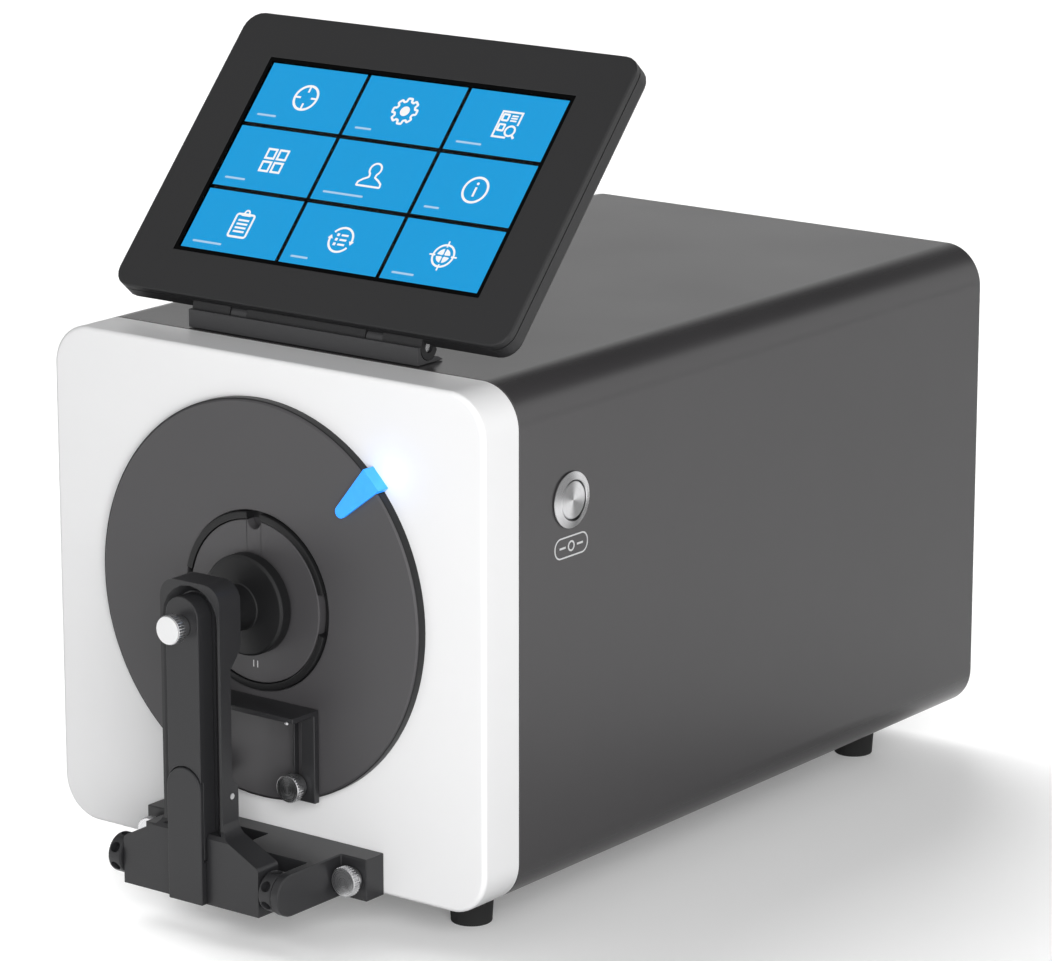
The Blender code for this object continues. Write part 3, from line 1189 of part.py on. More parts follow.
def plunger(swing):
    """Sprung plunger through the head: bell and neck, pad, spring, rod and pull knob."""
    port = PORT_HEIGHT - AXLE_HEIGHT
    axis = axis_frame("plunger axis", (0.0, 0.0, port), swing)

    def ahead(distance):
        """Depth in the arm's frame of a place this far ahead of the panel's face."""
        return AXLE_AHEAD - distance

    start = HEAD_BACK - NECK_SEAT
    hollow_end = ahead(NECK_END) - BELL_DISH
    profile = [(NECK_INNER, start), (NECK_OUTER, start), (NECK_OUTER, ahead(NECK_END)),
               (BELL_RADIUS - BELL_EDGE, ahead(BELL_SHOULDER)),
               (BELL_RADIUS, ahead(BELL_SHOULDER) + BELL_EDGE), (BELL_RADIUS, ahead(BELL_BACK)),
               (ROD_RADIUS, ahead(BELL_BACK)), (ROD_RADIUS, ahead(BELL_BACK) - BELL_DISH),
               (ROD_RADIUS / 2, hollow_end), (NECK_INNER, hollow_end)]
    solid("plunger_bell", turned(profile, "Y", ROUND, ring=True), "black metal", axis)
    pad = ahead(BELL_BACK) + GAP
    solid("pressure_pad", turned([(PAD_RADIUS, pad), (PAD_RADIUS, pad + PAD_THICK)], "Y", ROUND),
          "rubber", axis)

    seat = hollow_end - GAP
    first = PLUNGER_FLOOR + CHANNEL_FLOOR + GAP
    inner = SPRING_RADIUS - SPRING_WIRE
    coil = [(SPRING_RADIUS, first), (SPRING_RADIUS, seat), (inner, seat), (inner, first)]
    solid("plunger_spring", turned(coil, "Y", COARSE, ring=True), "bright steel", axis)

    face = -SPINE_FACE - GAP
    collar = face - KNOB_COLLAR
    front = collar - KNOB_HEAD
    sides = [(KNOB_RADIUS - KNOB_EDGE, front + CAP_THICK), (KNOB_RADIUS, front + CAP_THICK + KNOB_EDGE),
             (KNOB_RADIUS, collar), (KNOB_COLLAR_RADIUS, collar), (KNOB_COLLAR_RADIUS, face),
             (ROD_RADIUS, face), (ROD_RADIUS, seat)]
    solid("pull_knob", turned(sides, "Y", ROUND), "bright steel", axis)
    cap = [(KNOB_RADIUS - KNOB_EDGE, front), (KNOB_RADIUS - KNOB_EDGE, front + CAP_THICK - GAP)]
    solid("pull_knob_cap", turned(cap, "Y", ROUND), "white plastic", axis)


# Sample shelf


def sample_shelf(body):
    """Ledge on two slotted legs under the port; two thumb screws lock its height."""
    back = -DISC_THICK - GAP
    face = back - SHELF_PLATE
    lip = SHELF_TOP - SHELF_THICK
    outline = [(back, SHELF_FOOT), (back, SHELF_TOP), (back - SHELF_REACH, SHELF_TOP),
               (back - SHELF_REACH, lip), (face, lip), (face, SHELF_FOOT)]
    shelf = solid("sample_shelf", bar(outline, "X", -SHELF_HALF, SHELF_HALF), "black metal", body)
    between = rectangle(-LEG_INNER, LEG_INNER, SHELF_FOOT - OVERRUN, lip)
    cut(shelf, bar(between, "Y", face - OVERRUN, back + OVERRUN))
    for across in (-SLOT_PLACE, SLOT_PLACE):
        middle = (across, (SLOT_FOOT + SLOT_TOP) / 2)
        slot = rounded(SLOT_WIDTH, SLOT_TOP - SLOT_FOOT, SLOT_WIDTH / 2 - GAP / 2, middle, steps=4)
        cut(shelf, bar(slot, "Y", face - OVERRUN, back + OVERRUN))
    for side, across in (("left", -SLOT_PLACE), ("right", SLOT_PLACE)):
        axis = axis_frame(f"shelf screw axis {side}", (across, face - GAP, SHELF_SCREW_HEIGHT), body)
        solid(f"shelf_screw_{side}", screw_shape(SHELF_HEAD_RADIUS, SHELF_GRIP, SHELF_SHANK),
              "bright steel", axis)


def build():
    clear_scene()
    body = axis_frame("instrument", (0.0, FRONT, 0.0))
    for make in (front_panel, wrap_cover, rear_panel, feet, chassis_tray, optics_bridge,
                 port_disc, aperture_ring, aperture_plate, light_guide, integrating_sphere,
                 sphere_stand, gloss_shutter, viewing_optics, lamp_module, power_supply,
                 main_board, power_inlet, power_switch, data_sockets, test_button,
                 touch_screen, hinge_base, clamp_bracket, bracket_screws, capstan_nuts,
                 sample_shelf):
        make(body)
    swing = axis_frame("clamp axis", (0.0, -AXLE_AHEAD, AXLE_HEIGHT), body)
    for make in (clamp_arm, arm_spine, plunger):
        make(swing)


build()
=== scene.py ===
"""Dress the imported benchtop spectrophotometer: detailed pieces, finishes, studio and camera.

Laid out as an add-on.  Metres, +Z up, -Y towards the user.  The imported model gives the
places of all pieces; the sizes that the settings hold are those that a user may change.
"""
import json
import math

import bmesh
import bpy
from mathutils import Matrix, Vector


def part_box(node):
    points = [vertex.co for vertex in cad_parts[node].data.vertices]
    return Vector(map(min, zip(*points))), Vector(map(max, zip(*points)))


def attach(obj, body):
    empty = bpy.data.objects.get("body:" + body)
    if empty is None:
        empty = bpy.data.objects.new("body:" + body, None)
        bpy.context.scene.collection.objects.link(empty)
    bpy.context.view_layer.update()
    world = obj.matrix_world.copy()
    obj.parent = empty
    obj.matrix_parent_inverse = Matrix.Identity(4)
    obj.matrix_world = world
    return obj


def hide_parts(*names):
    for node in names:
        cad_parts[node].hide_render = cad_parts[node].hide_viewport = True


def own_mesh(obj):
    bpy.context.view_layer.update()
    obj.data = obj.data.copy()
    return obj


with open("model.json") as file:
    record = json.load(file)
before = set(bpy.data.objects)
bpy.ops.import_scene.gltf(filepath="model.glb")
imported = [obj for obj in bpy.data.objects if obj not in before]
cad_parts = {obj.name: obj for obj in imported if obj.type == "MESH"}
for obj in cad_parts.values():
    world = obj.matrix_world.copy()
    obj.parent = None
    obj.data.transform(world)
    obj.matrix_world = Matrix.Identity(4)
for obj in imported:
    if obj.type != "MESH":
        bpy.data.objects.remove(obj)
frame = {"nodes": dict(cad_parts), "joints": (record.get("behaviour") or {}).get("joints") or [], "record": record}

bl_info = {
    "name": "Benchtop spectrophotometer looks",
    "version": (1, 0, 0),
    "blender": (4, 5, 0),
    "location": "View3D > Sidebar > Instrument",
    "description": "Detailed pieces, finishes and studio for a packed benchtop spectrophotometer",
    "category": "Object",
}

NODES = frame["nodes"]
JOINTS = {joint["name"]: joint for joint in frame["joints"]}
PANEL_LOW, PANEL_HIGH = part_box("front_panel")
COVER_LOW, COVER_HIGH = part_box("wrap_cover")
FRONT = PANEL_LOW.y
PORT = Vector((0.0, 0.0, JOINTS["aperture_turn"]["pos_m"][2]))
AXLE = Vector(JOINTS["clamp_swing"]["pos_m"])
# In metres: the gap between pieces, the body's corner radius, the radius at which turned
# pieces close, and how far printed signs stand off and how thick they are.
GAP = 0.0003
BODY_CORNER = 0.017
CORE = 0.0001
PRINT_LIFT, PRINT_DEPTH = 0.00001, 0.00004
# In pixels.
IMAGE_WIDTH = 1052


# Settings that a user would change


class FinishSettings(bpy.types.PropertyGroup):
    white_paint: bpy.props.FloatVectorProperty(
        name="Panel white", description="Satin paint of the front panel",
        default=(0.88, 0.88, 0.885), subtype="COLOR", size=3, min=0, max=1)
    charcoal_paint: bpy.props.FloatVectorProperty(
        name="Cover charcoal", description="Satin paint of the wrap cover and the rear panel",
        default=(0.043, 0.041, 0.043), subtype="COLOR", size=3, min=0, max=1)
    anodised: bpy.props.FloatVectorProperty(
        name="Dark anodising", description="Port disc and measuring plate",
        default=(0.060, 0.058, 0.061), subtype="COLOR", size=3, min=0, max=1)
    black_metal: bpy.props.FloatVectorProperty(
        name="Black anodising", description="Clamp, bracket, shelf and bell",
        default=(0.020, 0.020, 0.0215), subtype="COLOR", size=3, min=0, max=1)
    screen_plastic: bpy.props.FloatVectorProperty(
        name="Screen housing", description="Moulded housing of the touch screen and its hinge",
        default=(0.017, 0.017, 0.0178), subtype="COLOR", size=3, min=0, max=1)
    steel: bpy.props.FloatVectorProperty(
        name="Bright steel", description="Knurled heads, button and hinge pin",
        default=(0.66, 0.66, 0.67), subtype="COLOR", size=3, min=0, max=1)
    paint_roughness: bpy.props.FloatProperty(
        name="Paint roughness", description="Gloss of the painted cover, low is shinier",
        default=0.24, min=0.05, max=1, subtype="FACTOR")


class DisplaySettings(bpy.types.PropertyGroup):
    tile_colour: bpy.props.FloatVectorProperty(
        name="Tile blue", description="Colour of the lit tiles",
        default=(0.0159, 0.3372, 0.7157), subtype="COLOR", size=3, min=0, max=1)
    tile_gap: bpy.props.FloatProperty(
        name="Gap between tiles", description="Black line between two tiles",
        default=0.0019, min=0.0002, max=0.01, unit="LENGTH")
    margin: bpy.props.FloatProperty(
        name="Black margin", description="Black line round the tiles",
        default=0.0015, min=0.0, max=0.01, unit="LENGTH")
    icon_size: bpy.props.FloatProperty(
        name="Icon size", description="Height of the line icons",
        default=0.0124, min=0.004, max=0.02, unit="LENGTH")
    stroke: bpy.props.FloatProperty(
        name="Icon stroke", description="Width of the icons' lines",
        default=0.00085, min=0.0002, max=0.003, unit="LENGTH")


class GuideSettings(bpy.types.PropertyGroup):
    colour: bpy.props.FloatVectorProperty(
        name="Guide blue", description="Colour of the lit light guide",
        default=(0.026, 0.300, 0.95), subtype="COLOR", size=3, min=0, max=1)


class KnurlSettings(bpy.types.PropertyGroup):
    teeth: bpy.props.IntProperty(
        name="Teeth", description="Ridges round each knurled head", default=32, min=12, max=80)
    depth: bpy.props.FloatProperty(
        name="Depth", description="Depth of the grooves between the ridges",
        default=0.00050, min=0.0001, max=0.001, unit="LENGTH")


class StudioSettings(bpy.types.PropertyGroup):
    floor_colour: bpy.props.FloatVectorProperty(
        name="Floor", description="Colour of the studio floor",
        default=(0.90, 0.90, 0.90), subtype="COLOR", size=3, min=0, max=1)
    key: bpy.props.FloatProperty(
        name="Key light", description="Power of the soft box at the front right",
        default=29.0, min=0, max=500, unit="POWER")
    left: bpy.props.FloatProperty(
        name="Floor light", description="Soft light from the left that falls on the floor only",
        default=4.0, min=0, max=20)
    back: bpy.props.FloatProperty(
        name="Back light", description="Soft low light from behind on the left",
        default=1.5, min=0, max=20)
    sky: bpy.props.FloatProperty(
        name="Sky", description="Even light from all round", default=0.22, min=0, max=5)
    turn: bpy.props.FloatProperty(
        name="Camera turn", description="Turn of the camera to the right of the front",
        default=0.649953, subtype="ANGLE")
    pitch: bpy.props.FloatProperty(
        name="Camera pitch", description="How far the camera looks down",
        default=0.252148, subtype="ANGLE")
    distance: bpy.props.FloatProperty(
        name="Camera distance", description="From the camera to the point it looks at",
        default=1.79277, min=0.2, max=20, unit="LENGTH")
    across: bpy.props.FloatProperty(
        name="Aim across", description="Point looked at, across the picture",
        default=0.101114, unit="LENGTH")
    height: bpy.props.FloatProperty(
        name="Aim height", description="Point looked at, above the bench",
        default=0.172937, unit="LENGTH")
    focal: bpy.props.FloatProperty(
        name="Focal length in pixels", description="For an image 1052 pixels wide",
        default=4668.74, min=500, max=20000)


# Shapes


def skin(shape, rows, ring=False, closed=True):
    """Join each row of vertices to the next one, and with ring the last to the first."""
    count = len(rows[0])
    pairs = list(zip(rows, rows[1:])) + ([(rows[-1], rows[0])] if ring else [])
    for near, far in pairs:
        for i in range(count if closed else count - 1):
            j = (i + 1) % count
            shape.faces.new((near[i], near[j], far[j], far[i]))


def loft(loops, ring=False, into=None):
    """Skin a row of loops of equal counts; a ring has no ends to close."""
    shape = into or bmesh.new()
    rows = [[shape.verts.new(point) for point in loop] for loop in loops]
    skin(shape, rows, ring)
    if not ring:
        shape.faces.new(rows[0])
        shape.faces.new(rows[-1])
    return shape


def arc(centre, radius, start, end, steps):
    """Points along an arc, in degrees."""
    angles = [math.radians(start + (end - start) * i / steps) for i in range(steps + 1)]
    return [(centre[0] + radius * math.cos(a), centre[1] + radius * math.sin(a)) for a in angles]


def circle(radius, steps, centre=(0.0, 0.0)):
    return arc(centre, radius, 0.0, 360.0, steps)[:-1]


def eased(points, radius, closed=False, steps=3):
    """Round the corners of a line of points; a corner gets less where its sides are short."""
    slight_bend = math.radians(12)
    longest_share = 0.45
    result = []
    count = len(points)
    for i, point in enumerate(points):
        if not closed and i in (0, count - 1):
            result.append(point)
            continue
        here = Vector(point)
        before = Vector(points[i - 1]) - here
        after = Vector(points[(i + 1) % count]) - here
        if min(before.length, after.length) < 1e-9:
            continue
        bend = math.pi - before.angle(after)
        if bend < slight_bend:
            result.append(point)
            continue
        reach = min(radius * math.tan(bend / 2), before.length * longest_share,
                    after.length * longest_share)
        first = here + before.normalized() * reach
        last = here + after.normalized() * reach
        for k in range(steps + 1):
            t = k / steps
            result.append(tuple(first * (1 - t) ** 2 + here * 2 * t * (1 - t) + last * t ** 2))
    return result


def rounded(width, height, radius, centre=(0.0, 0.0), steps=12):
    """A rectangle with round corners."""
    points = []
    for turn, (side_x, side_y) in enumerate(((1, 1), (-1, 1), (-1, -1), (1, -1))):
        middle = (centre[0] + side_x * (width / 2 - radius),
                  centre[1] + side_y * (height / 2 - radius))
        points += arc(middle, radius, 90.0 * turn, 90.0 * turn + 90.0, steps)
    return points


def lift(points, axis, along):
    """Place an outline square to an axis: X takes (y, z), Y (x, z), Z (x, y)."""
    if axis == "X":
        return [(along, u, v) for u, v in points]
    if axis == "Y":
        return [(u, along, v) for u, v in points]
    return [(u, v, along) for u, v in points]


def front_outlines(low, high, steps):
    """A function that gives a body's front outline at an inset and a place along Y."""
    width = high.x - low.x
    height = high.z - low.z
    middle = (0.0, (low.z + high.z) / 2)

    def outline(inset, along):
        corners = rounded(width - 2 * inset, height - 2 * inset, BODY_CORNER - inset, middle, steps)
        return lift(corners, "Y", along)

    return outline


def turned(profile, axis, centre, steps, ring=False, into=None):
    """Revolve (radius, along) points about an axis through centre."""
    loops = [lift(circle(radius, steps, centre), axis, along) for radius, along in profile]
    return loft(loops, ring, into)


def knurled(head, knurl, centre):
    """A head about Y with grooves; its loops are (radius, along, share of the knurl's depth)."""
    steps_per_tooth = 4
    count = knurl.teeth * steps_per_tooth
    loops = []
    for radius, along, share in head:
        points = []
        for i in range(count):
            turn = 2 * math.pi * i / count
            in_groove = i % steps_per_tooth >= steps_per_tooth / 2
            reach = radius - (knurl.depth * share if in_groove else 0.0)
            points.append((centre[0] + reach * math.cos(turn), centre[1] + reach * math.sin(turn)))
        loops.append(lift(points, "Y", along))
    return loft(loops)


def mesh_of(name, shape):
    """A mesh made from a bmesh, which is freed."""
    data = bpy.data.meshes.new(name)
    shape.to_mesh(data)
    shape.free()
    return data


def placed(name, data):
    """A new object in the scene."""
    thing = bpy.data.objects.new(name, data)
    bpy.context.scene.collection.objects.link(thing)
    return thing


def smooth(data, angle):
    data.shade_smooth()
    data.set_sharp_from_angle(angle=math.radians(angle))


def make_piece(name, shape, material, body, angle=30.0):
    """Turn a bmesh into a smooth piece that rides on a body."""
    bmesh.ops.recalc_face_normals(shape, faces=shape.faces)
    data = mesh_of(name, shape)
    data.materials.append(material)
    smooth(data, angle)
    piece = placed(name, data)
    # Keeps large flat faces flat beside their round edges.
    piece.modifiers.new("even shading", "WEIGHTED_NORMAL").keep_sharp = True
    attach(piece, body)
    return piece


def copy_of(node):
    """A CAD node's mesh with its triangles merged back into whole faces."""
    same_place, same_plane = 1e-6, math.radians(0.6)
    shape = bmesh.new()
    shape.from_mesh(NODES[node].data)
    bmesh.ops.remove_doubles(shape, verts=shape.verts, dist=same_place)
    bmesh.ops.dissolve_limit(shape, angle_limit=same_plane, verts=shape.verts, edges=shape.edges)
    return shape


def softened(node, name, width, material, body, segments=3, angle=32.0, clamp=True):
    """A piece of a CAD node's own form with rounded edges; it replaces the node."""
    piece = make_piece(name, copy_of(node), material, body, angle)
    bevel = piece.modifiers.new("rounded edges", "BEVEL")
    bevel.width = width
    bevel.segments = segments
    bevel.limit_method = "ANGLE"
    bevel.angle_limit = math.radians(angle)
    bevel.use_clamp_overlap = clamp
    bevel.miter_outer = "MITER_ARC"
    piece.modifiers.move(1, 0)
    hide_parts(node)
    return piece


def carve(piece, cutter):
    """Cut a helper shape out of a piece for good."""
    bmesh.ops.recalc_face_normals(cutter, faces=cutter.faces)
    helper = placed("cutter", mesh_of("cutter", cutter))
    change = piece.modifiers.new("cut", "BOOLEAN")
    change.object = helper
    change.solver = "EXACT"
    bpy.context.view_layer.update()
    result = bpy.data.meshes.new_from_object(piece.evaluated_get(
        bpy.context.evaluated_depsgraph_get()))
    piece.modifiers.remove(change)
    bpy.data.objects.remove(helper)
    old = piece.data
    piece.data = result
    bpy.data.meshes.remove(old)
    smooth(result, 30)


# Shaders


def connect(tree, node, inputs):
    """Give each input a value, or link it to another node's output."""
    for name, value in inputs.items():
        if isinstance(value, bpy.types.NodeSocket):
            tree.links.new(value, node.inputs[name])
        else:
            node.inputs[name].default_value = value


def add(tree, kind, inputs=None, **settings):
    """A new shader node with its settings and inputs."""
    node = tree.nodes.new(f"ShaderNode{kind}")
    for name, value in settings.items():
        setattr(node, name, value)
    connect(tree, node, inputs or {})
    return node


def maths(tree, operation, *values):
    return add(tree, "Math", dict(enumerate(values)), operation=operation).outputs["Value"]


def from_centre(tree, start):
    """Place in the object, measured from the group's centre."""
    place = add(tree, "TexCoord").outputs["Object"]
    return add(tree, "VectorMath", {0: place, 1: start["Centre"]},
               operation="SUBTRACT").outputs["Vector"]


def fine_grain(tree, start):
    """Fine grain and large soft patches of an even finish."""
    place = add(tree, "TexCoord").outputs["Object"]
    return [add(tree, "TexNoise", {"Vector": place, "Scale": start[scale],
                                   "Detail": detail}).outputs["Fac"]
            for scale, detail in (("Grain Scale", 2.0), ("Patch Scale", 3.0))]


def turning_marks(tree, start):
    """Rings that a lathe leaves round an axis."""
    flat = add(tree, "VectorMath", {0: from_centre(tree, start), 1: start["Across"]},
               operation="MULTIPLY").outputs["Vector"]
    radius = add(tree, "VectorMath", {0: flat}, operation="LENGTH").outputs["Value"]
    rings = add(tree, "TexNoise", {"W": radius, "Scale": start["Ring Scale"], "Detail": 3.0},
                noise_dimensions="1D")
    return [rings.outputs["Fac"]]


def painted_highlight_fans(tree, start):
    """Painted highlight: bright and dark sectors round an axis along X, painted into the colour of a face brushed
    in circles to stand for its shine.
    """
    split = add(tree, "SeparateXYZ", {"Vector": from_centre(tree, start)}).outputs
    angle = maths(tree, "ARCTAN2", split["Z"], split["Y"])
    phase = maths(tree, "ADD", maths(tree, "MULTIPLY", angle, start["Sectors"]), start["Turn"])
    return [ranged(tree, maths(tree, "COSINE", phase), 0.0, 1.0, -0.9, 0.95, "SMOOTHSTEP")]


GROUPS = {
    "fine grain": (fine_grain, {"Grain Scale": 2500.0, "Patch Scale": 14.0},
                   ("Height", "Patches")),
    "turning marks": (turning_marks, {"Centre": (0.0, 0.0, 0.0), "Across": (1.0, 0.0, 1.0),
                                      "Ring Scale": 3000.0}, ("Height",)),
    # The fans are painted highlight, used as a mask on a colour.
    "brushed fans": (painted_highlight_fans, {"Centre": (0.0, 0.0, 0.0), "Turn": 0.0, "Sectors": 2.0},
                     ("Mask",)),
}


def grouped(tree, name, values):
    """The outputs of a shader group in a material; its first use makes the group."""
    if name not in bpy.data.node_groups:
        build, inputs, outputs = GROUPS[name]
        group = bpy.data.node_groups.new(name, "ShaderNodeTree")
        for label, default in inputs.items():
            kind = "NodeSocketVector" if isinstance(default, tuple) else "NodeSocketFloat"
            socket = group.interface.new_socket(label, in_out="INPUT", socket_type=kind)
            socket.default_value = default
        for label in outputs:
            group.interface.new_socket(label, in_out="OUTPUT", socket_type="NodeSocketFloat")
        start = group.nodes.new("NodeGroupInput").outputs
        end = group.nodes.new("NodeGroupOutput")
        connect(group, end, dict(zip(outputs, build(group, start))))
    return add(tree, "Group", values, node_tree=bpy.data.node_groups[name]).outputs


def ranged(tree, source, low, high, start=0.3, end=0.7, curve="LINEAR"):
    """Map a range of a value, unless given the middle of a noise, to another range."""
    return add(tree, "MapRange", {"Value": source, "From Min": start, "From Max": end,
                                  "To Min": low, "To Max": high},
               interpolation_type=curve).outputs["Result"]


def mixed(tree, factor, first, second, kind="RGBA"):
    return add(tree, "Mix", {"Factor": factor, "A": first, "B": second},
               data_type=kind).outputs["Result"]


def shade(colour, share=1.0):
    """A lighter or darker colour, with its alpha."""
    return (*[min(1.0, c * share) for c in colour], 1.0)


def tinted(tree, source, colour, spread):
    """A colour that a noise makes a little darker and lighter."""
    return mixed(tree, ranged(tree, source, 0.0, 1.0), shade(colour, 1 - spread),
                 shade(colour, 1 + spread))


def bumped(tree, height, strength, distance):
    return add(tree, "Bump", {"Height": height, "Strength": strength,
                              "Distance": distance}).outputs["Normal"]


def once(build):
    """Turn a function that gives a shader's inputs into one that makes a named material once."""
    def material(name, *values, **settings):
        if name not in bpy.data.materials:
            tree = new_tree(bpy.data.materials.new(name))
            connect(tree, tree.nodes["Principled BSDF"], build(tree, *values, **settings))
        return bpy.data.materials[name]
    return material


def new_tree(block):
    block.use_nodes = True
    return block.node_tree


@once
def even_finish(tree, colour, roughness, grain, strength, spread, metallic=0.0, swing=0.04,
                specular=0.5, share=1.0):
    """Paint, plastic, rubber or anodising: a fine grain with slow patches in shade and gloss."""
    marks = grouped(tree, "fine grain", {"Grain Scale": grain})
    return {"Base Color": tinted(tree, marks["Patches"], [share * c for c in colour], spread),
            "Roughness": ranged(tree, marks["Patches"], roughness - swing, roughness + swing),
            "Normal": bumped(tree, marks["Height"], strength, 0.0001),
            "Metallic": metallic, "Specular IOR Level": specular}


@once
def turned_finish(tree, colour, centre):
    """Steel off a lathe: rings round an axis along Y."""
    rings = grouped(tree, "turning marks", {"Centre": centre})["Height"]
    tangent = add(tree, "Tangent", direction_type="RADIAL", axis="Y")
    return {"Base Color": tinted(tree, rings, colour, 0.06),
            "Roughness": ranged(tree, rings, 0.25, 0.35),
            "Normal": bumped(tree, rings, 0.2, 0.00005),
            "Metallic": 1.0, "Anisotropic": 0.5, "Tangent": tangent.outputs["Tangent"]}


@once
def brushed_steel_painted_highlights(tree, colour, centre, roughness):
    """Steel brushed in circles: its rings are in the roughness and the bump, and its shine is painted highlight,
    bright and dark fans in the colour round the middle.
    """
    # The turn sets where the painted bright fans lie.
    fans = grouped(tree, "brushed fans", {"Centre": centre, "Turn": -1.3})["Mask"]
    rings = grouped(tree, "turning marks", {"Centre": centre, "Across": (0.0, 1.0, 1.0),
                                            "Ring Scale": 5200.0})["Height"]
    # Painted highlight: the fans make the base colour darker and lighter round the middle.
    return {"Base Color": mixed(tree, fans, shade(colour, 0.34), shade(colour, 0.95)),
            "Roughness": ranged(tree, rings, roughness - 0.04, roughness + 0.04),
            "Normal": bumped(tree, rings, 0.2, 0.00005), "Metallic": 1.0}


@once
def lit_finish(tree, colour, strength):
    """A surface that gives its own light, a little uneven as a back light is."""
    patches = grouped(tree, "fine grain", {"Patch Scale": 9.0})["Patches"]
    return {"Emission Color": tinted(tree, patches, colour, 0.012), "Emission Strength": strength,
            "Base Color": (0.0, 0.0, 0.0, 1.0), "Roughness": 0.4, "Specular IOR Level": 0.0}


@once
def guide_finish(tree, colour):
    """Milky light guide: lit from inside and still shaded by the room."""
    patches = grouped(tree, "fine grain", {"Patch Scale": 260.0})["Patches"]
    return {"Base Color": tinted(tree, patches, colour, 0.03),
            "Emission Color": tinted(tree, patches, colour, 0.05), "Emission Strength": 0.55,
            "Roughness": 0.28}


@once
def glass_finish(tree):
    """Coated cover glass: clear, smooth and with little reflection."""
    patches = grouped(tree, "fine grain", {"Patch Scale": 20.0})["Patches"]
    return {"Base Color": (1.0, 1.0, 1.0, 1.0), "Transmission Weight": 1.0, "IOR": 1.07,
            "Roughness": ranged(tree, patches, 0.0, 0.02)}


# Values of the even finishes; a word names the setting that holds the value.
FINISHES = {
    "white paint": dict(colour="white_paint", roughness=0.38, grain=1800, strength=0.06,
                        spread=0.006, specular=0.4),
    "charcoal paint": dict(colour="charcoal_paint", roughness="paint_roughness", grain=2600,
                           strength=0.04, spread=0.03, swing=0.02),
    "dark anodising": dict(colour="anodised", roughness=0.42, grain=3200, strength=0.10,
                           spread=0.04),
    "black anodising": dict(colour="black_metal", roughness=0.38, grain=2200, strength=0.10,
                            spread=0.08, specular=0.42),
    # A darker black: the lock ring's own tone; on the bell it is painted shade, as though in the shadow of the
    # arm's head, and the disc's edge takes it as a dark band.
    "black rim": dict(colour=(0.009, 0.009, 0.0095), roughness=0.40, grain=3200, strength=0.06,
                      spread=0.05, specular=0.3),
    "screen plastic": dict(colour="screen_plastic", roughness=0.50, grain=2400, strength=0.14,
                           spread=0.05, specular=0.4),
    "hinge plastic": dict(colour="screen_plastic", share=2.2, roughness=0.42, grain=2400,
                          strength=0.10, spread=0.05),
    "rubber": dict(colour=(0.016, 0.016, 0.016), roughness=0.72, grain=1500, strength=0.3,
                   spread=0.10, specular=0.3),
    "white cap": dict(colour=(0.86, 0.86, 0.865), roughness=0.30, grain=2000, strength=0.04,
                      spread=0.01),
    "display black": dict(colour=(0.0012, 0.0012, 0.0013), roughness=0.35, grain=2000,
                          strength=0.02, spread=0.1, specular=0.03),
    "sphere alloy": dict(colour=(0.72, 0.72, 0.71), roughness=0.45, metallic=0.9, grain=1500,
                         strength=0.15, spread=0.05),
    "zinc sheet": dict(colour=(0.52, 0.53, 0.54), roughness=0.40, metallic=0.9, grain=900,
                       strength=0.12, spread=0.10),
    "module case": dict(colour=(0.50, 0.51, 0.52), roughness=0.38, metallic=0.9, grain=1400,
                        strength=0.10, spread=0.06),
    "circuit board": dict(colour=(0.012, 0.11, 0.045), roughness=0.45, grain=1200, strength=0.2,
                          spread=0.15),
    "bright steel": dict(colour="steel", roughness=0.26, metallic=1.0, grain=3000,
                         strength=0.12, spread=0.05),
    "printed white": dict(colour=(0.62, 0.62, 0.63), roughness=0.5, grain=3000, strength=0.05,
                          spread=0.03),
}
SLOT_FINISH = {
    "white_paint": "white paint", "charcoal_paint": "charcoal paint",
    "dark_anodised": "dark anodising", "black_metal": "black anodising",
    "screen_plastic": "screen plastic", "display": "display black",
    "bright_steel": "bright steel", "white_plastic": "white cap", "rubber": "rubber",
    "sphere_alloy": "sphere alloy", "sheet_steel": "zinc sheet", "module_case": "module case",
    "circuit_board": "circuit board",
}


def finish(name):
    """The material of a named finish."""
    look = bpy.context.scene.instrument_finish
    return even_finish(name, **{key: getattr(look, value) if isinstance(value, str) else value
                                for key, value in FINISHES[name].items()})


def fall_only_on(lamp, name, target):
    """Let a lamp light one object only."""
    lit = bpy.data.collections.new(name)
    lit.objects.link(bpy.data.objects[target])
    lamp.light_linking.receiver_collection = lit


# Pieces, one operator for each group


class InstrumentOperator:
    """What all the operators share."""

    bl_options = {"REGISTER", "UNDO"}

    def execute(self, context):
        self.build(context.scene)
        return {"FINISHED"}


class INSTRUMENT_OT_finishes(InstrumentOperator, bpy.types.Operator):
    """Give every carried-over part the finish of its slot"""

    bl_idname = "instrument.finishes"
    bl_label = "Finish the carried-over parts"

    def build(self, scene):
        slots = {part["node"]: part["material_slot"] for part in frame["record"]["subparts"]}
        for name, node in NODES.items():
            slot = slots[name]
            if slot == "touch_glass":
                material = glass_finish("cover glass")
            elif slot == "blue_guide":
                material = guide_finish("blue guide", scene.instrument_guide.colour)
            else:
                material = finish(SLOT_FINISH[slot])
            for place in node.material_slots:
                place.material = material


